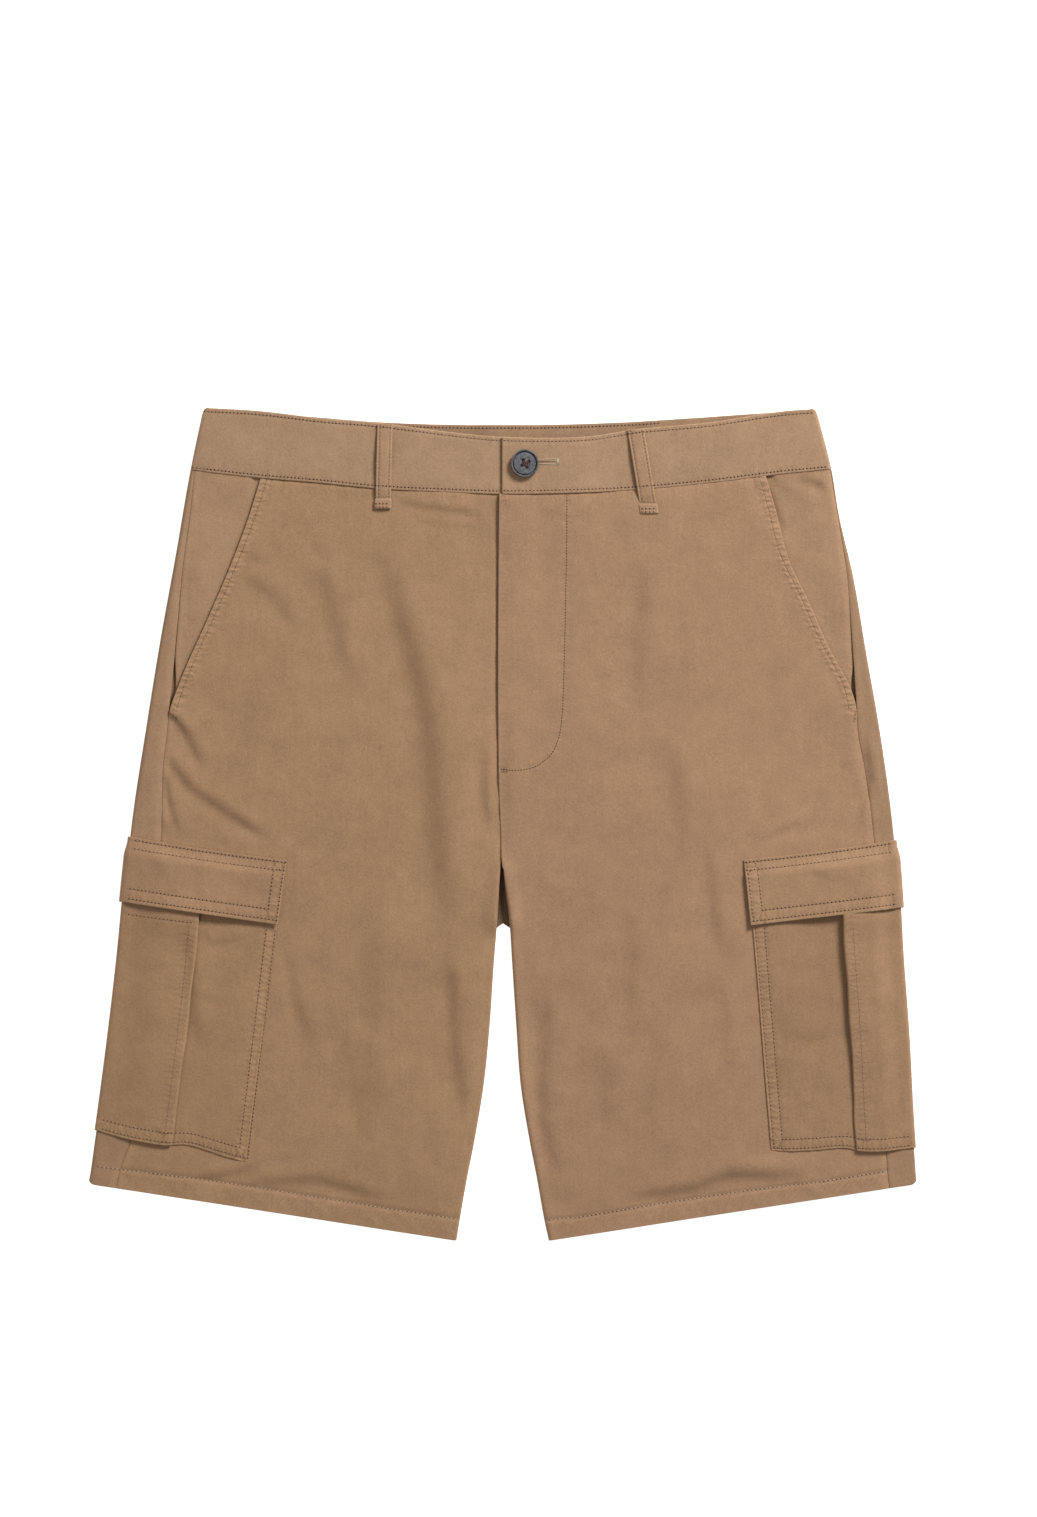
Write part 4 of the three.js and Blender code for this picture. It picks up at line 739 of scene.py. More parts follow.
for side, sign in SIDES.items():
    outer_y = PANEL_ROWS
    row = row_at(outer_y)

    def centre_line(y):
        return np.where(y > -30, read(FRONT_CENTRE[side], y), inseam_x(side, y))

    def side_line(y):
        return np.where(y > SLANT_FOOT_Y, read(SLANT[side], y), seam_x(side, y) - SEAM_GAP)

    inner_x = meet(side, "front", row, centre_line)
    outer_x = meet(side, "front", row, side_line)
    inner_y = row_y(side, "front", row, inner_x)
    lapped = smooth(-62, -32, inner_y)
    turn_x, turn_drop, start = inner_turn(inner_x, 1 - smooth(-58, -26, inner_y))
    flat_x = lerp(start, outer_x - 13, across(0.008, 1, 88))
    x = np.concatenate([turn_x, flat_x, outer_x - TO_OUTER_EDGE[None, :]], 1)
    drop = np.concatenate([turn_drop, np.zeros((len(row), x.shape[1] - turn_x.shape[1]))], 1)
    y = row_y(side, "front", row, x)
    net = body_point(side, reach_at(side, fold_x(side, y) - x, outer_y), y, outer_y, -CLOTH / 2)
    from_centre = x - inner_x
    at_fly = smooth(-20, 10, y)

    # the left panel's centre edge lies on the right one's, and both rise to the lapped waistband
    lap = lapped * (1 - smooth(9, 34, x))
    lap_shift = 0.8 - (CLOTH + GAP if side == "right" else 0)
    net[..., 2] += lap_shift * lap - drop
    if side == "left":
        over = LAP_RISE * (1 - smooth(UNDER_END + 2, UNDER_END + LAP_EASE, x))
        waist_rise = over - 0.9 * (1 - smooth(60, 84, x)) + 0.8 * (1 - lap)
    else:
        waist_rise = 1.0 * (1 - smooth(30, 84, x))
        net[..., 2] -= 0.9 * beside(x - 4.0, 1.2) * at_fly * (1 - smooth(205, 222, y))
    net[..., 2] += np.maximum(waist_rise, 0) * smooth(176, 222, y)
    net[..., 2] += 2.6 * smooth(-78, -64, y) * (1 - smooth(-36, -10, y)) * (1 - smooth(1, 12, from_centre))
    if side == "left":
        net[..., 2] += 0.5 * smooth(36, 70, y) * (1 - smooth(4, 30, from_centre))
        net[..., 2] -= 0.7 * smooth(-24, -6, y) * (1 - smooth(18, 34, y)) * (1 - smooth(1, 9, from_centre))

    # pocket edge: turned in, stitched, drawn up
    world_x = sign * x
    slit, run, _ = to_line(world_x, y, slant_stitch(side))
    on_slant = smooth(66, 76, y)
    inside = outer_x - x
    doubled = (1 - smooth(5.0, 7.5, inside)) * on_slant
    from_slit = np.maximum(slit - 1.5, 0)
    ripple = puckers(from_slit, run * SLANT_RUN, pitch=5.4, height=0.24, width=3.6, seed=21) * on_slant
    net[..., 2] += 0.30 * doubled - 0.20 * on_slant * beside(slit, 1.0) + ripple
    # pale at the pocket's folded edge, partly wear and partly painted highlight; paler on the doubled strip and
    # pucker crests; painted shade along the stitch line
    edge_wear_and_painted_light = 0.5 * beside(inside, 1.0) + 0.34 * doubled + 1.3 * ripple - 0.1 * beside(slit, 0.9)
    wear_and_painted_light = on_slant * edge_wear_and_painted_light

    # side seam below the pocket, rolled in
    below = 1 - smooth(68, 76, y)
    net[..., 2] -= SEAM_DROP * below * np.exp(-inside / SEAM_ROLL)
    wear_and_painted_light += below * 0.5 * beside(inside - 2.5, 2.0)

    # under the waistband
    to_band = read(BAND_LOWER["front"], world_x) - y
    gathers = puckers(np.maximum(to_band - 3, 0), world_x + 300, pitch=14.0, height=0.14, width=9.0, seed=31)
    net[..., 2] += gathers - 0.5 * np.exp(-to_band / 1.4)
    wear_and_painted_light += 0.8 * gathers

    # hem: turned up twice, with its line of stitches
    line, _, _ = to_line(world_x, y, HEM_STITCH[side])
    in_hem = smooth(0, 1.5, np.interp(world_x, *zip(*HEM_STITCH[side])) - y)
    from_hem_line = np.maximum(line - 3, 0) * 0.6
    ropes = puckers(from_hem_line, world_x + 0.9 * y, pitch=12.0, height=0.13, width=7.0, seed=41) * in_hem
    net[..., 2] += 0.25 * in_hem - 0.55 * beside(line, 1.1) + ropes
    hem_edge = row_y(side, "front", 1.0, x)
    # pucker crests paler; painted shade darkens the hem's stitch line; the folded edge is painted paler, partly
    # wear and partly painted highlight
    wear_and_painted_light += ropes * 0.9 - 0.45 * beside(line, 1.0) + 0.5 * beside(y - hem_edge, 1.2)

    seams = [(np.abs(inside - 3.6) + 30 * (1 - on_slant), y * 1.07, 3.4, 1.6),
             (np.abs(to_band - 3), world_x, 5.0, 0.35),
             (np.abs(y - hem_edge - 7), world_x - 0.6 * y, 6.0, 0.45),
             (from_centre - 3, y, 4.0, 0.3 * smooth(-30, 10, y))]
    if side == "left":
        # fly: the lapped edge and its stitched curve
        fly, run, _ = to_line(world_x, y, FLY_STITCH)
        fly_ripple = puckers(fly, run * FLY_RUN, pitch=9.0, height=0.07, width=6.0, seed=51)
        edge_ripple = puckers(from_centre, y + 300, pitch=17.0, height=0.16, width=5.0, seed=52) * at_fly
        net[..., 2] += fly_ripple + edge_ripple - 0.12 * beside(fly, 1.2)
        # the lapped edge is painted paler, partly as wear and partly as a painted highlight; the stitched curve's
        # pucker crests are paler
        wear_and_painted_light += fly_ripple * 1.2 + at_fly * 0.5 * beside(from_centre, 1.2)
        seams.append((fly, run * FLY_RUN, 4.0, 0.35))
    else:
        net[..., 2] += puckers(from_centre - 8, y + 300, pitch=19.0, height=0.12, width=8.0, seed=53) * at_fly
    wear_and_painted_light += (1 - lapped) * 0.4 * beside(from_centre * (1 - lapped) - 5.5, 2.0)
    piece = make_shell(f"twill_front_panel_{side}", net, CLOTH, front_twill[side], sign > 0)
    mark(piece, "wear_and_painted_light", wear_and_painted_light)
    drawn_up(piece, seams)
    beneath = [f"twill_back_panel_{side}", f"twill_pocket_facing_{side}"]
    if side == "left":
        beneath.append("twill_front_panel_right")
    lay_cloth(piece, f"front_panel_{side}", "front_twill", *FRONT_CUT[side], beneath)

# Waistband
# One long strip of twill over a stiff interlining, stitched along both edges. It runs round the
# back and laps over itself at the centre front, where the buttonhole is worked.
BAND = 2.0
BAND_HEIGHT = 6.2
BAND_UPPER = {
    "front": [(-212.8, 283.9), (-165, 281.2), (-124.4, 276.4), (-83.6, 273.0), (-36, 266.9), (0, 263.5),
              (55.8, 263.6), (91.2, 268.9), (140.8, 273.5), (191.8, 281.2), (223.7, 283.2)],
    "back": [(-212.8, 283.9), (-165, 280.6), (-83.6, 273.9), (0, 271.9), (83.6, 273.9), (170, 279.6),
             (223.7, 283.2)],
}
BAND_CUT = (0.0418, 0.915)
BAND_WIDTH = 41.8
BAND_CORNER = 4.5
UPPER_ROW, LOWER_ROW = 2.6, 2.4
bend_radius = BAND_HEIGHT / 2
band_middle = bend_radius - BAND / 2
share = (spaced(0.25, BAND_WIDTH, 1.35) / BAND_WIDTH)[None, :]
band_twill = cotton_twill("cotton_twill_waistband", "a8876a", 2.3)


def band_front(x, end):
    x = x[:, None]
    if end == "under":
        shift = -(BAND + GAP - LAP_RISE) * smooth(LAP_END - LAP_EASE, LAP_END - 4, x)
    else:
        shift = LAP_RISE * (1 - smooth(UNDER_END + 2, UNDER_END + LAP_EASE, x))
    y = lerp(read(BAND_LOWER["front"], x), read(BAND_UPPER["front"], x), share)
    return np.stack(np.broadcast_arrays(x, y, BAND_HEIGHT - BAND / 2 + shift), -1)


def band_back(x):
    x = x[:, None]
    y = lerp(read(BAND_LOWER["back"], x), read(BAND_UPPER["back"], x), share)
    return np.stack(np.broadcast_arrays(x, y, BAND / 2 + loop_raise(x, 220 + 0 * x)), -1)


def band_fold(side, degrees):
    """The band's turn round one side of the waist."""
    angle = np.radians(degrees)[:, None]
    far_out = SIDES[side] * 400
    y = lerp(read(BAND_LOWER["front"], far_out), read(BAND_UPPER["front"], far_out), share)
    x = fold_x(side, y) - bend_radius + band_middle * np.cos(angle)
    return np.stack(np.broadcast_arrays(SIDES[side] * x, y, bend_radius + band_middle * np.sin(angle)), -1)


under_part = np.concatenate([[UNDER_END, 37.88, 37.7, 37.4], np.linspace(36.6, -200, 170)])
over_part = np.concatenate([np.linspace(209, 0.7, 165), [0.2, -0.2, -0.45, -0.62, LAP_END]])
turn_degrees = np.linspace(90, -90, 13)
net = np.concatenate([
    band_front(under_part, "under"), band_fold("right", turn_degrees), band_back(np.linspace(-196, 205, 130)),
    band_fold("left", turn_degrees[::-1]), band_front(over_part, "over")])
for side, sign in SIDES.items():
    from_edge = fold_x(side, net[..., 1]) - sign * net[..., 0]
    net[..., 1] -= rounded(from_edge, BAND_CORNER) * smooth(0.84, 1, share) * (sign * net[..., 0] > 100)
on_top = net[..., 2] > BAND_HEIGHT / 2 + 0.8
from_lower = net[..., 1] - read(BAND_LOWER["front"], net[..., 0])
from_upper = read(BAND_UPPER["front"], net[..., 0]) - net[..., 1]
wear_and_painted_light = np.zeros(net.shape[:2])
for gap, inset, seed in ((from_upper, UPPER_ROW, 61), (from_lower, LOWER_ROW, 62)):
    from_stitches = np.maximum(gap - inset, 0)
    ripple = puckers(from_stitches, net[..., 0] + 300, pitch=10.0, height=0.08, width=5.0, seed=seed) * on_top
    groove = beside(gap - inset, 0.9) * on_top
    net[..., 2] += ripple - 0.24 * groove
    # pucker crests paler; painted shade in the stitch grooves; the band's edges painted paler, partly wear and
    # partly painted highlight
    wear_and_painted_light += ripple * 1.4 - 0.1 * groove + 0.5 * beside(gap, 0.9)
slack = 0.30 * value_noise(net[..., 0], net[..., 1] * 0.7, 26, 63)
slack = slack + 0.05 * value_noise(net[..., 0], net[..., 1], 9, 64)
net[..., 2] += on_top * slack * smooth(0, 5, from_lower) * smooth(0, 5, from_upper)
waistband = make_shell("twill_waistband", net, BAND, band_twill, False, edge=0.8)
# the inner face, which shows above the front edge, lies in shade
mark(waistband, "wear_and_painted_light", wear_and_painted_light, wear_and_painted_light - 0.75)
drawn_up(waistband, [
    (from_upper - 2, net[..., 0], 3.5, 0.5 * on_top),
    (from_lower - 2, net[..., 0], 3.5, 0.6 * on_top)])
beneath = ["twill_front_panel_right", "twill_front_panel_left"]
lay_cloth(waistband, "waistband", "band_twill", BAND_CUT, rests_on=beneath)

# Belt loops
# Narrow folded strips of twill, sewn down at both ends, two at the front and three at the back.
LOOPS = {
    "front_right": ((-80.2, 272.4), (-81.6, 214.8), 10.4),
    "front_left": ((90.2, 268.6), (99.6, 211.4), 11.4),
    "back_right": ((BACK_LOOP_X[0], 274.8), (BACK_LOOP_X[0], 226.3), 10.5),
    "back_centre": ((BACK_LOOP_X[1], 271.3), (BACK_LOOP_X[1], 222.6), 10.5),
    "back_left": ((BACK_LOOP_X[2], 274.3), (BACK_LOOP_X[2], 226.3), 10.5),
}
LOOP_STITCH = 1.8
LOOP_THICK = 1.2
LOOP_RUN = 57
loop_twill = cotton_twill("cotton_twill_belt_loop", "a98668", 4.2)
for name, (top, foot, width) in LOOPS.items():
    in_front = name.startswith("front")
    share = (spaced(0, LOOP_RUN, 0.8) / LOOP_RUN)[:, None]
    sideways = spaced(-width / 2, width / 2, 0.55)[None, :]
    lift, base = 0 * share * sideways, 0 * share
    flange = smooth(0.885, 0.9, share)
    edge_in = width / 2 - np.abs(sideways)
    beside_stitch = beside(edge_in - LOOP_STITCH, 0.6)
    if in_front:
        base = lerp(BAND_HEIGHT, BODY_HEIGHT, smooth(0.78, 0.88, share)) + GAP
        arch = 1.3 * np.sin(np.pi * np.clip((share - 0.06) / 0.76, 0, 1))
        crown = 0.25 * (1 - (2 * sideways / width) ** 2)
        pressed = 0.35 * beside_stitch * (1 - flange) + 0.5 * beside((share - 0.878) * LOOP_RUN, 0.7)
        lift = arch + crown - pressed + 0.35 * flange + 0.12 * value_noise(sideways + 50, share * LOOP_RUN, 6, 91)
    x = lerp(top[0], foot[0], share) + sideways * (1 + 0.1 * flange)
    y = lerp(top[1], foot[1], share) + 0 * sideways
    net = np.stack([x, y, base + LOOP_THICK / 2 + lift], -1)
    piece = make_shell(f"twill_belt_loop_{name}", net, LOOP_THICK, loop_twill, True, edge=0.6)
    # the folded sides and the foot's end are painted paler, partly wear and partly painted highlight; painted shade
    # darkens the stitch lines
    loop_wear_and_painted_light = 0.9 * beside(edge_in, 0.8) - 0.2 * beside_stitch
    mark(piece, "wear_and_painted_light", loop_wear_and_painted_light + 0.6 * beside(share - 0.985, 0.02))
    beneath = ["twill_waistband", name.replace("front_", "twill_front_panel_")] if in_front else []
    lay_cloth(piece, f"belt_loop_{name}", "loop_twill", (width * MM, (top[1] - foot[1]) * MM), rests_on=beneath)

# Cargo pockets
# Each is one piece of twill, folded under at the pleat and stitched down in two rows along its
# front edge and foot, drawn up a little by them.
PLEAT_LEVEL = CLOTH + GAP
POCKET_CLOTH = 0.8
POCKET_ROWS = (2.1, 8.2)
POCKET_CUT = {"right": (0.173, 0.187), "left": (0.162, 0.190)}
MOUTH_ROW_Y = -60.5
# how much the foot waves up and down, in rows of (x, rise)
FOOT_WAVE = {
    "right": [(171, 0), (185, 0.5), (199, 2.1), (214, 3.0), (228.5, -0.2), (241, -1.0), (256, -1.2), (277, 0)],
    "left": [(182, 0), (193, -0.9), (211, -0.5), (234, 0.6), (242, -1.3), (256.8, -1.9), (270, -0.8),
             (279.6, 0)],
}
POCKET_FOLDS = [
    ([(-215, -62), (-211, -108), (-206, -160)], 1.1, 7),
    ([(-206, -70), (-198, -80), (-184, -78), (-170, -74)], 0.45, 3.5),
    ([(-262, -92), (-240, -97), (-224, -94)], 0.3, 5),
    ([(-204, -118), (-188, -122), (-174, -120)], 0.2, 5),
    ([(184, -92), (204, -98), (222, -94)], 0.25, 5),
    ([(186, -140), (206, -146), (224, -142)], 0.25, 6),
    ([(246, -118), (258, -123), (270, -121)], 0.25, 5),
]
TO_FRONT_EDGE = np.array([0, 0.12, 0.3, 0.6, 1.2, 1.8, 2.4, 3.2, 4.2, 5.4, 6.6, 7.6, 8.4, 9.4, 10.6])[None, :]
FAR_OFF = 1e3
pocket_twill = {
    "right": cotton_twill("cotton_twill_pocket_right", "a3805f", 5.2),
    "left": cotton_twill("cotton_twill_pocket_left", "a27f60", 6.3),
}


def wrap_round(side, side_y, front_y, width, wrap, first, out):
    """The columns of a pocket or flap that run round the leg's outer fold and on below it."""
    quarter = radius_at(side, side_y) * np.pi / 2
    turn = across(0, 1, 12)
    bend = body_point(side, lerp(quarter * 0.94, -quarter, turn), side_y + 0 * turn, side_y, out)
    inward = np.concatenate([first, [wrap - 1, wrap - 0.4, wrap]])[None, :]
    below_y = lerp(side_y, front_y, inward / width)
    below = body_point(side, -(quarter + inward - radius_at(side, side_y)), below_y, side_y, out)
    return [bend, below]


pocket_lines, pleat_lines = {}, []
for side, sign in SIDES.items():
    shape = POCKET[side]
    mouth, foot = shape["mouth"], shape["foot"]
    side_y = spaced(mouth[1], foot[1], 1.5)[:, None]
    share = (side_y - mouth[1]) / (foot[1] - mouth[1])
    front_y = lerp(mouth[0], foot[0], share)
    front_x = lerp(*shape["front_x"], share)
    width = fold_x(side, side_y) - front_x
    puff = 0.8 * np.sin(np.pi * share) ** 2
    base = GAP + CLOTH / 2
    half_turn = PLEAT_LEVEL / 2
    outer, inner = shape["pleat"], shape["pleat"] - shape["under"]
    # the pleat's layers lie close together where the mouth and foot are stitched down
    foot_from = 0.72 if side == "right" else 0.5
    pressed = lerp(0.56, 1, smooth(0, 0.17, share)) * lerp(1, 0.56, smooth(foot_from, 0.99, share))
    stand = 2.6 * smooth(0, 0.16, share) * (1 - smooth(0.3, 0.96, share)) if side == "left" else 0 * share
    wobble = 0.9 * value_noise(side_y, 0 * side_y, 26, 75) * smooth(0, 0.1, share) * (1 - smooth(0.85, 1, share))

    def lay(inward, level, stands=0):
        """Columns at distances in from the outer fold, at a level over the leg, the pleat's edge standing."""
        inward = inward + wobble * np.minimum(level / PLEAT_LEVEL, 1)
        wavy = read(FOOT_WAVE[side], fold_x(side, side_y) - inward) * smooth(0.82, 1, share)
        y = lerp(side_y, front_y, inward / width) + wavy
        lift = puff * smooth(2, 22, width - inward) * smooth(8, 30, inward)
        down = 0.4 * (1 - smooth(0, 10, width - inward)) + 0.3 * (1 - smooth(0, 9, side_y - foot[1]))
        out = base + level * pressed + lift - down + stands * stand
        return body_point(side, reach_at(side, inward, side_y), y, side_y, out)

    flat_in = np.concatenate([width - TO_FRONT_EDGE, lerp(width - 12, outer, across(0, 1, 32))], 1)
    bend = np.radians(across(-60, 60, 5))
    slope = across(0.04, 1, 20)
    sinking = 2 * PLEAT_LEVEL * (1 - smooth(0, 1, lerp(0.06, 1, slope)))
    tucked = [
        lay(flat_in, 0),
        lay(across(outer - 1.5, inner, 9), 0),
        lay(inner - half_turn * np.cos(bend), half_turn * (1 + np.sin(bend))),
        lay(across(inner, outer, 6), PLEAT_LEVEL)]
    risen = 1 + np.sin(bend)
    folded = lay(outer + half_turn * np.cos(bend), PLEAT_LEVEL + half_turn * risen, risen / 2)
    on_top = [
        lay(across(outer - 0.3, inner - 1, 14), 2 * PLEAT_LEVEL, across(1, 0.35, 14)),
        lay(lerp(inner - 1.5, 6, slope), sinking, 0.33 * (1 - slope))]
    rest = wrap_round(side, side_y, front_y, width, shape["wrap"], [5, 8, 11, 14, 17], base)
    net = np.concatenate(tucked + [folded] + on_top + rest, 1)
    fold_at = sum(part.shape[1] for part in tucked) + 4
    order = np.arange(net.shape[1])[None, :]

    # stitched rows near the front edge and foot
    front_run = np.full(net.shape[:2], FAR_OFF)
    front_run[:, :flat_in.shape[1]] = width - flat_in
    foot_run = side_y - foot[1] + 0 * front_run
    on_flat = front_run < FAR_OFF - 100
    facing = ((order >= fold_at - 2) | on_flat) * smooth(0.5 * BODY_HEIGHT, BODY_HEIGHT, net[..., 2])
    groove = np.zeros_like(front_run)
    if side == "right":
        groove = 0.9 * beside(side_y - MOUTH_ROW_Y, 0.9) * ~on_flat
    for run in (front_run, foot_run):
        for inset in POCKET_ROWS:
            groove = np.maximum(groove, beside(run - inset, 0.8))
    past_front, past_foot = np.maximum(front_run - 5, 0), np.maximum(foot_run - 5, 0)
    down_edge, along_foot = side_y + 300 + 0 * front_run, net[..., 0] + 300
    ripple = puckers(past_front, down_edge, pitch=7.5, height=0.15, width=5.0, seed=71)
    ripple += puckers(past_foot, along_foot, pitch=9.5, height=0.12, width=4.5, seed=72) * (front_run > 6)
    wave = 0.32 * value_noise(net[..., 0] * 0.6, net[..., 1], 21, 73)
    wave = wave + 0.12 * value_noise(net[..., 0] * 0.5, net[..., 1], 8, 74)
    wave = wave + relief(net[..., 0], net[..., 1], POCKET_FOLDS)
    wave = wave * smooth(0, 12, np.minimum(front_run, foot_run))
    net[..., 2] += facing * (ripple - 0.28 * groove + wave + 0.15 - 0.3 * (1 - smooth(0, 3, foot_run)))
    # the doubled strips and pucker crests are paler; the front edge and foot are painted paler, partly wear and
    # partly painted highlight; painted shade darkens the stitched grooves
    doubled = 0.25 * (1 - smooth(6.5, 9.5, front_run)) + 0.15 * (1 - smooth(6.5, 9.5, foot_run))
    edge_wear_and_painted_light = 0.5 * beside(front_run, 1.0) + 0.5 * beside(foot_run, 1.0)
    wear_and_painted_light = facing * (doubled + ripple * 0.9 - 0.12 * groove + edge_wear_and_painted_light)
    # pleat: the fold's edge stands up and is painted pale, partly wear and partly a painted highlight; its outer
    # part is stitched beside the fold
    wear_and_painted_light += 0.6 * beside(order - fold_at, 1.2) * smooth(-0.1, 0.15, share)
    piece = make_shell(f"twill_cargo_pocket_{side}", net, POCKET_CLOTH, pocket_twill[side], sign > 0)
    mark(piece, "wear_and_painted_light", wear_and_painted_light)
    pleat_run = np.abs(order - fold_at - 4) * 0.9
    drawn_up(piece, [
        (front_run - 4.5, side_y + 0 * front_run, 5.0, 0.95 * facing),
        (foot_run - 4.5, net[..., 0], 5.0, 0.8 * facing),
        (pleat_run, side_y + 0 * front_run, 4.0, 0.6 * facing)])
    beneath = [f"twill_front_panel_{side}", f"twill_back_panel_{side}"]
    lay_cloth(piece, f"cargo_pocket_{side}", "pocket_twill", POCKET_CUT[side], rests_on=beneath)

    def to_world(xs, ys):
        return [(sign * p, q) for p, q in zip(np.ravel(xs), np.ravel(ys))]

    def edge_line(inset, start, end):
        """A line of stitches beside the pocket's front edge."""
        t = np.linspace(start, end, 60)
        y_front, y_side = lerp(mouth[0], foot[0], t), lerp(mouth[1], foot[1], t)
        edge = lerp(*shape["front_x"], t)
        wide = fold_x(side, y_side) - edge
        return to_world(edge + inset, lerp(y_side, y_front, (wide - inset) / wide))

    def foot_line(inset):
        """A line of stitches above the pocket's foot."""
        y_side, y_front = foot[1] + inset, foot[0] + inset
        wide = float(fold_x(side, y_side)) - lerp(*shape["front_x"], 1 - inset / 185)
        inward = np.linspace(wide - inset, 1.5, 60)
        x = float(fold_x(side, y_side)) - inward
        return to_world(x, lerp(y_side, y_front, inward / wide) + read(FOOT_WAVE[side], x) * (1 - inset * 0.02))

    pleat_t = np.linspace(0.2, 0.985, 60)
    pleat_y = lerp(mouth[1], foot[1], pleat_t)
    pleat_in = outer - 6.0
    pleat_wide = fold_x(side, pleat_y) - lerp(*shape["front_x"], pleat_t)
    pleat_ends = lerp(mouth[0], foot[0], pleat_t)
    pleat_lines.append(to_world(fold_x(side, pleat_y) - pleat_in, lerp(pleat_y, pleat_ends, pleat_in / pleat_wide)))
    near, far = POCKET_ROWS
    pocket_lines[side] = [edge_line(near, 0.17, 0.99), edge_line(far, 0.17, 0.955), foot_line(near), foot_line(far)]
    if side == "right":
        mouth_in = np.linspace(outer - 5, 2, 30)
        pocket_lines[side].append(to_world(fold_x(side, MOUTH_ROW_Y) - mouth_in, MOUTH_ROW_Y - 0.129 * mouth_in))

# Pocket flaps
# Two layers of twill, sewn down along the upper edge and hanging over the pocket's mouth, with
# two rows of stitches all round.
FLAP = 1.6
FLAP_THICK = 1.2
FLAPS = {
    "right": {"top": (-24.1, -8.2), "foot": (-68.2, -52.6), "front_x": (145.4, 151.4), "wrap": 27, "open": 1.1},
    "left": {"top": (-24.0, -10.6), "foot": (-68.6, -56.6), "front_x": (162.5, 167.6), "wrap": 23, "open": 0.4},
}
FLAP_ROWS = {"top": (2.0, 7.8), "foot": (2.8, 9.6), "front": (2.8, 9.4)}
FLAP_CUT = {"right": (0.143, 0.0455), "left": (0.137, 0.0455)}
FLAP_BOW = 0.9
FLAP_FOLDS = [
    ([(-207, -14), (-206, -36), (-205, -60)], 0.3, 4),
    ([(-246, -12), (-232, -30), (-222, -46)], 0.25, 5),
    ([(204, -28), (222, -36), (244, -36)], 0.3, 5),
    ([(-186, -36), (-170, -44)], 0.2, 5),
]
TO_FLAP_EDGE = np.array([0, 0.12, 0.3, 0.6, 1.1, 1.7, 2.3, 2.9, 3.6, 4.6, 5.8, 7, 8, 8.8, 9.6, 10.6])[None, :]
flap_twill = {
    "right": cotton_twill("cotton_twill_flap_right", "a17e60", 7.4),
    "left": cotton_twill("cotton_twill_flap_left", "a68364", 8.6),
}
flap_lines = {}
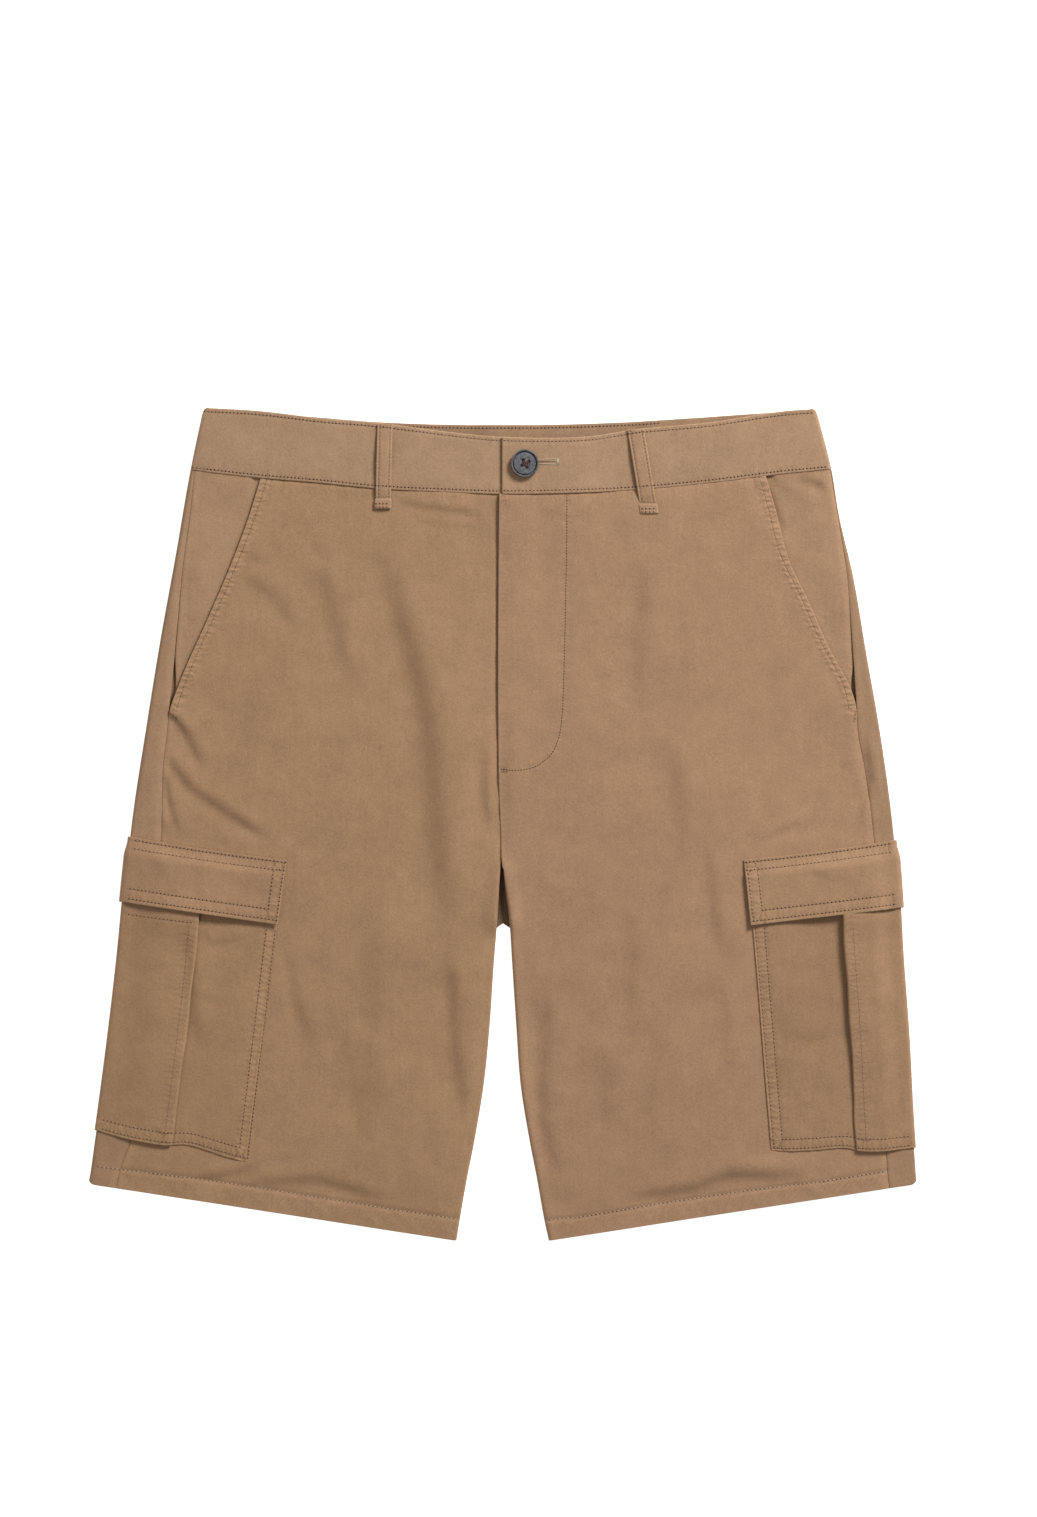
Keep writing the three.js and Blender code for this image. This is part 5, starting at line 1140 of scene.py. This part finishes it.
for side, sign in SIDES.items():
    shape, pocket = FLAPS[side], POCKET[side]
    (top_front, top_side), (foot_front, foot_side) = shape["top"], shape["foot"]
    side_y = spaced(top_side, foot_side, 1.15)[:, None]
    share = (side_y - top_side) / (foot_side - top_side)
    front_y = lerp(top_front, foot_front, share)
    width = fold_x(side, side_y) - lerp(*shape["front_x"], share)
    base = GAP + FLAP / 2
    down = smooth(0.06, 0.3, share)
    tuck_in = pocket["pleat"] - pocket["under"]
    top_in = np.concatenate([width - TO_FLAP_EDGE, lerp(width - 11.8, 5, across(0, 1, 74))], 1)
    bow = FLAP_BOW * (1 - share) * np.sin(np.pi * np.clip(top_in / width, 0, 1))
    y = lerp(side_y, front_y, top_in / width) - bow
    # it hangs clear of the pocket, and higher where the pleat lies under it
    past_pleat = smooth(pocket["pleat"] + 2, pocket["pleat"] + 46, top_in)
    hump = 2 * PLEAT_LEVEL * lerp(0.5, 0.95, share) * smooth(4, tuck_in - 3, top_in) * (1 - past_pleat)
    open_edge = shape["open"] * smooth(0.45, 1, share)
    over = down * (CLOTH + GAP + open_edge + 0.35 * smooth(2, 12, top_in) + hump) - 0.2
    top = body_point(side, reach_at(side, top_in, side_y), y, side_y, base + over)
    out = base + down * (CLOTH + GAP)
    rest = wrap_round(side, side_y, front_y, width, shape["wrap"], [5, 9, 13, 17, 21], out)
    front_in = width - top_in
    top_run, foot_run = top_side - side_y + 0 * top_in, side_y - foot_side + 0 * top_in
    down_edge, along_foot = side_y + 0 * top_in, sign * (fold_x(side, side_y) - top_in) + 300
    groove = np.zeros_like(top_in)
    for edge, run in (("top", top_run), ("foot", foot_run), ("front", front_in)):
        for inset in FLAP_ROWS[edge]:
            groove = np.maximum(groove, beside(run - inset, 0.8))
    ripple = puckers(np.abs(foot_run - 5), along_foot, pitch=9.0, height=0.11, width=5, seed=81)
    ripple += puckers(np.abs(front_in - 5), down_edge + 200, pitch=8.0, height=0.10, width=5, seed=82)
    ripple += puckers(np.abs(top_run - 5), along_foot, pitch=10.0, height=0.09, width=4, seed=83)
    wave = 0.14 * value_noise(top[..., 0], top[..., 1], 19, 84)
    wave = wave + 0.05 * value_noise(top[..., 0], top[..., 1], 8, 85)
    wave = (wave + relief(top[..., 0], top[..., 1], FLAP_FOLDS)) * smooth(0, 8, np.minimum(front_in, foot_run))
    top[..., 2] += ripple - 0.24 * groove + wave + 0.1
    # the doubled border and pucker crests are paler; the front edge and foot are painted paler, partly wear and
    # partly painted highlight; painted shade darkens the stitched grooves
    doubled = 0.2 * (1 - smooth(7, 10, np.minimum(front_in, foot_run)))
    wear_and_painted_light = ripple - 0.1 * groove + doubled + 0.5 * beside(front_in, 1.0) + 0.5 * beside(foot_run, 1.0)
    net = np.concatenate([top] + rest, 1)
    piece = make_shell(f"twill_cargo_flap_{side}", net, FLAP_THICK, flap_twill[side], sign > 0, edge=0.7)
    # the part round the leg's edge has no marks of its own
    plain = np.full((len(side_y), net.shape[1] - top.shape[1]), 40.0)

    def widen(values):
        return np.concatenate([values, plain], 1)

    mark(piece, "wear_and_painted_light", np.concatenate([wear_and_painted_light, 0 * plain], 1))
    drawn_up(piece, [
        (widen(front_in - 5), widen(down_edge), 5.0, 0.7),
        (widen(foot_run - 5), widen(top[..., 0]), 5.0, 0.6),
        (widen(top_run - 4), widen(top[..., 0]), 4.5, 0.55)])
    beneath = [f"twill_cargo_pocket_{side}", f"twill_front_panel_{side}", f"twill_back_panel_{side}"]
    lay_cloth(piece, f"cargo_flap_{side}", "flap_twill", FLAP_CUT[side], rests_on=beneath)

    def flap_row(edge, inset, from_front):
        """A line of stitches along the flap's top or foot."""
        y_side = shape[edge][1] + (-inset if edge == "top" else inset)
        t = (y_side - top_side) / (foot_side - top_side)
        fold = float(fold_x(side, y_side))
        wide = fold - lerp(*shape["front_x"], t)
        inward = np.linspace(wide - from_front, 1.5, 60)
        ys = lerp(y_side, lerp(top_front, foot_front, t), inward / wide)
        ys = ys - FLAP_BOW * (1 - t) * np.sin(np.pi * inward / wide)
        return [(sign * (fold - a), b) for a, b in zip(inward, ys)]

    def flap_side(inset, start, end):
        """A line of stitches down the flap's front edge."""
        t = np.linspace(start, end, 24)
        edge_x, y_front = lerp(*shape["front_x"], t), lerp(top_front, foot_front, t)
        return [(sign * (a + inset), b + inset * 0.13) for a, b in zip(edge_x, y_front)]

    flap_lines[side] = [flap_row("top", inset, 2.4) for inset in FLAP_ROWS["top"]]
    flap_lines[side] += [flap_row("foot", 2.8, 2.8), flap_row("foot", 9.6, 9.4)]
    flap_lines[side] += [flap_side(2.8, 0.06, 0.94), flap_side(9.4, 0.2, 0.79)]

# Waist button
# A grey four-hole button turned from horn-like resin, with a raised rim, sewn through the
# buttonhole with crossed thread.
BUTTON_X, BUTTON_Y, BUTTON_BASE = 14.8, 245.2, BAND_HEIGHT + LAP_RISE + GAP
# the button's section from the edge of its flat middle over the rim to its back, in (radius, height)
RINGS = [(4.6, 2.4), (6.8, 2.6), (7.45, 2.4), (7.65, 1.2), (8.0, 1.2), (8.2, 2.8), (8.5, 3.25), (8.95, 3.38),
         (9.25, 3.2), (9.45, 2.7), (9.5, 1.7), (9.2, 0.75), (8.3, 0.1), (6.0, 0.0)]
HOLES = [(-1.1, 2.2), (2.85, 1.4), (-1.9, -1.25), (1.45, -2.4)]
HOLE_RADIUS = 1.12

# polished resin worn dull: cloudy grey swirls as in real horn, and a low, broad shine
resin, tree = new_material("polished_horn_resin")
place = add_node(tree, "ShaderNodeTexCoord").outputs["Object"]
swirl = add_node(tree, "ShaderNodeTexNoise", Vector=place, Scale=260, Detail=5, Distortion=1.6).outputs["Fac"]
fleck = add_node(tree, "ShaderNodeTexNoise", Vector=place, Scale=1500, Detail=3).outputs["Fac"]
tones = add_node(tree, "ShaderNodeValToRGB", Fac=swirl)
tones.color_ramp.elements[0].color = linear("404147")
tones.color_ramp.elements[0].position = 0.3
tones.color_ramp.elements[1].color = linear("7c7a7c")
tones.color_ramp.elements[1].position = 0.72
dust = add_node(tree, "ShaderNodeBump", Strength=0.12, Distance=0.0001, Height=fleck).outputs[0]
shine = add_node(tree, "ShaderNodeBsdfPrincipled", Base_Color=tones.outputs[0], Roughness=0.6, Normal=dust,
                 Specular_IOR_Level=0.3)
finish_material(tree, shine.outputs[0])

bpy.ops.object.select_all(action="DESELECT")
middle_radius, middle_height = RINGS[0]
bpy.ops.mesh.primitive_circle_add(vertices=96, radius=middle_radius * MM, fill_type="NGON",
                                  location=(0, 0, middle_height * MM))
button = bpy.context.object
bpy.ops.object.transform_apply(location=True)
bpy.ops.object.mode_set(mode="EDIT")
bpy.ops.mesh.select_all(action="SELECT")
for (near_r, near_z), (far_r, far_z) in zip(RINGS[:-1], RINGS[1:]):
    bpy.ops.mesh.extrude_edges_move(TRANSFORM_OT_translate={"value": (0, 0, (far_z - near_z) * MM)})
    bpy.ops.transform.resize(value=(far_r / near_r, far_r / near_r, 1))
bpy.ops.mesh.edge_face_add()
bpy.ops.mesh.select_all(action="SELECT")
bpy.ops.mesh.normals_make_consistent(inside=False)
bpy.ops.object.mode_set(mode="OBJECT")
for hole_x, hole_y in HOLES:
    bpy.ops.object.select_all(action="DESELECT")
    bpy.ops.mesh.primitive_cylinder_add(vertices=28, radius=HOLE_RADIUS * MM, depth=8 * MM,
                                        location=(hole_x * MM, hole_y * MM, 2 * MM))
    drill = bpy.context.object
    bpy.context.view_layer.objects.active = button
    cut = button.modifiers.new("cut", "BOOLEAN")
    cut.operation = "DIFFERENCE"
    cut.solver = "EXACT"
    cut.object = drill
    bpy.ops.object.modifier_apply(modifier=cut.name)
    bpy.data.objects.remove(drill)
bevel = button.modifiers.new("soften", "BEVEL")
bevel.width = 0.14 * MM
bevel.segments = 2
bevel.limit_method = "ANGLE"
bevel.angle_limit = math.radians(50)
bpy.context.view_layer.objects.active = button
bpy.ops.object.modifier_apply(modifier=bevel.name)
for vertex in button.data.vertices:
    vertex.co += Vector((BUTTON_X, BUTTON_Y, BUTTON_BASE)) * MM
bpy.ops.object.select_all(action="DESELECT")
button.select_set(True)
bpy.ops.object.shade_smooth_by_angle(angle=math.radians(38))
button.name = "horn_button"
button.data.materials.clear()
button.data.materials.append(resin)
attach(button, "root")
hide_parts("waist_button")

# Stitching
# Polyester thread in a lockstitch about 2.5 mm long, each stitch pulled down into the cloth
# between two needle holes.


def thread(name, hex_colour):
    """Spun polyester thread: a soft shine, and a fine twist of plies, with painted shade darkening it in stripes
    along the grooves between them.
    """
    material, tree = new_material(name)
    place = add_node(tree, "ShaderNodeTexCoord").outputs["Object"]
    twist = add_node(tree, "ShaderNodeTexWave", {"wave_type": "BANDS", "bands_direction": "DIAGONAL"},
                     Vector=place, Scale=900, Distortion=0.5).outputs["Fac"]
    tones = add_node(tree, "ShaderNodeValToRGB", Fac=twist)
    tones.color_ramp.elements[0].color = [0.72 * c for c in linear(hex_colour)[:3]] + [1]
    tones.color_ramp.elements[1].color = linear(hex_colour)
    ply = add_node(tree, "ShaderNodeBump", Strength=0.4, Distance=0.0001, Height=twist).outputs[0]
    fibre = add_node(tree, "ShaderNodeBsdfPrincipled", Base_Color=tones.outputs[0], Roughness=0.62, Normal=ply,
                     Sheen_Weight=0.2)
    finish_material(tree, fibre.outputs[0])
    return material


thread_brown = thread("polyester_thread_brown", "a88465")
thread_pale = thread("polyester_thread_pale", "c4ae92")
thread_red = thread("polyester_thread_red_brown", "4d2621")

# painted shade: small dark discs stand for the shadow inside each needle hole in the twill
painted_hole_shade, tree = new_material("needle_hole_shadow")
speck = add_node(tree, "ShaderNodeTexNoise", Scale=900, Detail=2).outputs["Fac"]
depth = add_node(tree, "ShaderNodeValToRGB", Fac=speck)
depth.color_ramp.elements[0].color = linear("331c10")
depth.color_ramp.elements[1].color = linear("553420")
dark = add_node(tree, "ShaderNodeBsdfPrincipled", Base_Color=depth.outputs[0], Roughness=0.95)
finish_material(tree, dark.outputs[0])

trees = []
bpy.context.view_layer.update()
for piece in cloth_pieces:
    corners = [vertex.co.copy() for vertex in piece.data.vertices]
    trees.append(BVHTree.FromPolygons(corners, [tuple(face.vertices) for face in piece.data.polygons]))


def surface(x, y, way=1):
    """The cloth's surface at a place, seen from above, or from below where way is -1, with its normal."""
    best = None
    for cloth in trees:
        place, normal, _, _ = cloth.ray_cast(Vector((x * MM, y * MM, way * 0.05)), Vector((0, 0, -way)))
        if place is not None and (best is None or way * place.z > way * best[0].z):
            best = (place, normal)
    return best


def resample(path, pitch):
    path = np.array(path, float)
    run = np.concatenate([[0], np.cumsum(np.hypot(*np.diff(path, axis=0).T))])
    count = max(2, int(round(run[-1] / pitch)))
    at = np.linspace(0, run[-1], count + 1)
    return np.stack([np.interp(at, run, path[:, 0]), np.interp(at, run, path[:, 1])], 1)


THREAD_SIDES = 6


def tube_faces(base, rings):
    """The faces of a closed thread whose points start at base, in rings of THREAD_SIDES."""
    faces = []
    for ring in range(base, base + (rings - 1) * THREAD_SIDES, THREAD_SIDES):
        for k in range(THREAD_SIDES):
            n = (k + 1) % THREAD_SIDES
            faces.append((ring + k, ring + n, ring + THREAD_SIDES + n, ring + THREAD_SIDES + k))
    last = base + (rings - 1) * THREAD_SIDES
    faces.append(tuple(base + k for k in reversed(range(THREAD_SIDES))))
    faces.append(tuple(last + k for k in range(THREAD_SIDES)))
    return faces


STITCH_RINGS = 5
STITCH_GAP = 0.75
HOLE_SIDES = 8
HOLE_LENGTH = 0.55


def sew(name, lines, material, pitch=2.4, gauge=0.5, rise=0.1, hole=0.42, way=1):
    """Rows of stitches: a short thread for each, humped between its two needle holes, with a dark disc of painted
    shade at each hole.
    """
    points, faces, hole_points, hole_faces = [], [], [], []
    for path in lines:
        marks = resample(path, pitch)
        for (ax, ay), (bx, by) in zip(marks[:-1], marks[1:]):
            length = math.hypot(bx - ax, by - ay)
            if length < 0.5:
                continue
            at_hole, at_middle = surface(ax, ay, way), surface((ax + bx) / 2, (ay + by) / 2, way)
            if at_hole is None or at_middle is None:
                continue
            ux, uy = (bx - ax) / length, (by - ay) / length
            faces += tube_faces(len(points), STITCH_RINGS)
            for ring in range(STITCH_RINGS):
                t = ring / (STITCH_RINGS - 1)
                run = lerp(STITCH_GAP / 2, length - STITCH_GAP / 2, t)
                hump = math.sin(math.pi * t)
                thick = gauge / 2 * (0.45 + 0.55 * hump ** 0.5)
                z = at_middle[0].z / MM + way * (rise * hump - 0.14 * (1 - hump))
                for k in range(THREAD_SIDES):
                    a = 2 * math.pi * k / THREAD_SIDES
                    aside = thick * math.cos(a)
                    points.append((ax + ux * run - uy * aside, ay + uy * run + ux * aside,
                                   z + thick * 0.8 * math.sin(a)))
            place, normal = at_hole[0] / MM, at_hole[1]
            base = len(hole_points)
            on_way, aside = Vector((ux, uy, 0)), Vector((-uy, ux, 0)) * way
            for k in range(HOLE_SIDES):
                a = 2 * math.pi * k / HOLE_SIDES
                rim = on_way * math.cos(a) * HOLE_LENGTH + aside * math.sin(a) * hole
                hole_points.append(tuple(place + normal * 0.03 + rim))
                n = (k + 1) % HOLE_SIDES
                hole_faces.append((base + k, base + n, base + HOLE_SIDES))
                hole_faces.append((base + n, base + k, base + HOLE_SIDES + 1))
            hole_points.append(tuple(place + normal * 0.07))
            hole_points.append(tuple(place - normal * 0.12))
    new_piece(name, points, faces, material)
    new_piece(name + "_needle_hole_shade", hole_points, hole_faces, painted_hole_shade)


def band_line(face, edge, inset, start, end):
    """A line of stitches along the waistband, this far in from its lower or upper edge."""
    xs = np.linspace(start, end, 120)
    ys = read(BAND_LOWER[face], xs) + inset if edge == "lower" else read(BAND_UPPER[face], xs) - inset
    return list(zip(xs, ys))


def loop_rows(name, top_inset, foot_at):
    """The two rows along a belt loop, in from its sides."""
    top, foot, width = LOOPS[name]
    lean = (foot[0] - top[0]) * foot_at
    for inset in (LOOP_STITCH, width - LOOP_STITCH):
        x = top[0] - width / 2 + inset
        yield [(x, top[1] - top_inset), (x + lean, lerp(top[1], foot[1], foot_at))]


def bar_tack(name, y, inset):
    """A row of stitches across a belt loop."""
    _, foot, width = LOOPS[name]
    return [(foot[0] - width / 2 + inset, y), (foot[0] + width / 2 - inset, y)]


band_rows = [
    band_line("front", "lower", LOWER_ROW, -211.0, -1.8), band_line("front", "lower", LOWER_ROW, 0.9, 221.5),
    band_line("front", "upper", UPPER_ROW, -203.0, -2.0), band_line("front", "upper", UPPER_ROW, 0.9, 212.0),
    band_line("back", "upper", 2.2, -66, 108)]
fly_tacks = [[(-1.2, 37.6), (4.5, 37.6)], [(-1.2, 35.9), (4.5, 35.9)]]
slant_tacks = [[(-226.4, 76), (-220.5, 71.4)], [(-226.0, 75), (-220.3, 70.6)],
               [(240.2, 77), (239.2, 69.0)], [(239.4, 77), (238.4, 69.0)]]
flap_tacks = [[(166.4, -33.6), (166.4, -31.8), (171, -31.2)], [(-149.6, -31.0), (-154.4, -30.4)]]
sew("thread_waistband", band_rows, thread_brown, pitch=2.5, hole=0.62)
sew("thread_fly", [FLY_STITCH] + fly_tacks, thread_brown, pitch=2.0, gauge=0.4, hole=0.34)
sew("thread_pocket_edges", [slant_stitch(side) for side in SIDES] + slant_tacks, thread_brown, hole=0.2)
sew("thread_cargo_pockets", pocket_lines["right"] + pocket_lines["left"], thread_brown, pitch=2.6)
sew("thread_pleats", pleat_lines, thread_brown, gauge=0.4, hole=0.16)
sew("thread_flaps", flap_lines["right"] + flap_lines["left"] + flap_tacks, thread_brown, pitch=2.6, hole=0.55)
sew("thread_hems", [HEM_STITCH[side][1:-1] for side in SIDES], thread_pale, pitch=2.9, gauge=0.55)
front_loop_rows = []
for name in ("front_right", "front_left"):
    front_loop_rows += list(loop_rows(name, 1.2, 0.87))
    front_loop_rows += [bar_tack(name, LOOPS[name][1][1] + up, 0.5) for up in (1.0, 3.2)]
sew("thread_belt_loops", front_loop_rows, thread_brown, pitch=2.5, gauge=0.42, hole=0.5)

# the hidden side has the same rows along its waistband, hems, loops, pockets and flaps
HEM_DEPTH = 14.5
back_rows = [band_line("back", "lower", LOWER_ROW, -204, 214), band_line("back", "upper", UPPER_ROW, -200, 208)]
hem_rows = []
for side, sign in SIDES.items():
    xs = np.linspace(36, 276, 60)
    hem_rows.append(list(zip(sign * xs, row_y(side, "back", 1.0, xs) + HEM_DEPTH)))
    sewn_on = ((POCKET[side], POCKET_ROWS, -59), (FLAPS[side], FLAP_ROWS["foot"], FLAPS[side]["top"][1] - 2))
    for shape, insets, upper in sewn_on:
        lower, wrap = shape["foot"][1], shape["wrap"]
        for inset in insets:
            ys = np.linspace(lower + 2, upper, 30)
            back_rows.append(list(zip(sign * (fold_x(side, ys) - wrap + inset), ys)))
            inward = np.linspace(2, wrap - 2, 8)
            back_rows.append(list(zip(sign * (fold_x(side, lower) - inward), lower + inset + 0 * inward)))
for name, (top, foot, width) in LOOPS.items():
    if name.startswith("back"):
        for inset in (LOOP_STITCH, width - LOOP_STITCH):
            x = foot[0] - width / 2 + inset
            back_rows.append([(x, top[1] - 3), (x, foot[1] + 4)])
        back_rows += [bar_tack(name, top[1] - 1.2, 0.8), bar_tack(name, foot[1] + 1.2, 0.8)]
sew("thread_hidden_side", back_rows, thread_brown, pitch=2.6, rise=0.04, way=-1)
sew("thread_hidden_hems", hem_rows, thread_pale, pitch=2.9, rise=0.04, way=-1)

# Buttonhole and button thread
# The buttonhole is worked in close zigzag stitches with a bar at its end; the button is sewn
# on with crossed thread.


def bundle(name, strands, material, gauge):
    """Short threads, each through a list of points in millimetres."""
    points, faces = [], []
    for strand in strands:
        strand = [Vector(place) for place in strand]
        faces += tube_faces(len(points), len(strand))
        for k, place in enumerate(strand):
            ahead = (strand[min(k + 1, len(strand) - 1)] - strand[max(k - 1, 0)]).normalized()
            level = ahead.cross(Vector((0, 0, 1)))
            level = level.normalized() if level.length > 0.01 else Vector((1, 0, 0))
            lift = level.cross(ahead)
            for m in range(THREAD_SIDES):
                a = 2 * math.pi * m / THREAD_SIDES
                points.append(tuple(place + (level * math.cos(a) + lift * math.sin(a)) * gauge / 2))
    new_piece(name, points, faces, material)


BUTTONHOLE_Y = 246.4
LIP_STITCHES, LIP_PITCH = 58, 0.42
BAR_STITCHES, BAR_PITCH = 8, 0.18
BAR_X = 36.6
band_top = BAND_HEIGHT + LAP_RISE
worked = []
for k in range(LIP_STITCHES):
    # the lips lie close together under the button and open towards the bar
    x = BUTTON_X - 2 + k * LIP_PITCH
    for way in (-1, 1):
        inner_edge, outer_edge = BUTTONHOLE_Y + way * (0.3 + k * 0.016), BUTTONHOLE_Y + way * (1.7 + k * 0.012)
        crest = (x + 0.05, (inner_edge + outer_edge) / 2, band_top + 0.28)
        worked.append([(x, inner_edge, band_top - 0.1), crest, (x + 0.1, outer_edge, band_top - 0.05)])
for k in range(BAR_STITCHES):
    x = BAR_X + k * BAR_PITCH
    worked.append([(x, BUTTONHOLE_Y - 2.2, band_top), (x + 0.1, BUTTONHOLE_Y, band_top + 0.42),
                   (x, BUTTONHOLE_Y + 2.2, band_top)])
bundle("thread_buttonhole", worked, thread_pale, 0.36)
# painted shade: a dark thread of the needle-hole shade material lies along the slit, where the gap between the lips
# is in shade
slit = [(BUTTON_X + 6, BUTTONHOLE_Y, band_top - 0.1), (BUTTON_X + 12, BUTTONHOLE_Y, band_top + 0.04),
        (36.0, BUTTONHOLE_Y + 0.05, band_top - 0.1)]
bundle("buttonhole_slit_shade", [slit], painted_hole_shade, 0.62)

SEWING_STRANDS, STRAND_PITCH = 4, 0.34
face_z = BUTTON_BASE + RINGS[0][1]
cross = []
for (ax, ay), (bx, by) in ((HOLES[0], HOLES[3]), (HOLES[1], HOLES[2])):
    length = math.hypot(bx - ax, by - ay)
    for k in range(SEWING_STRANDS):
        aside = (k - (SEWING_STRANDS - 1) / 2) * STRAND_PITCH
        shift_x, shift_y = BUTTON_X - (by - ay) / length * aside, BUTTON_Y + (bx - ax) / length * aside
        strand = [(ax + shift_x, ay + shift_y, face_z - 2.2)]
        for t in (0.0, 0.2, 0.5, 0.8, 1.0):
            over = face_z + 0.2 + 0.3 * math.sin(math.pi * t)
            strand.append((lerp(ax, bx, t) + shift_x, lerp(ay, by, t) + shift_y, over))
        strand.append((bx + shift_x, by + shift_y, face_z - 2.2))
        cross.append(strand)
bundle("thread_button", cross, thread_red, 0.4)

low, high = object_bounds()
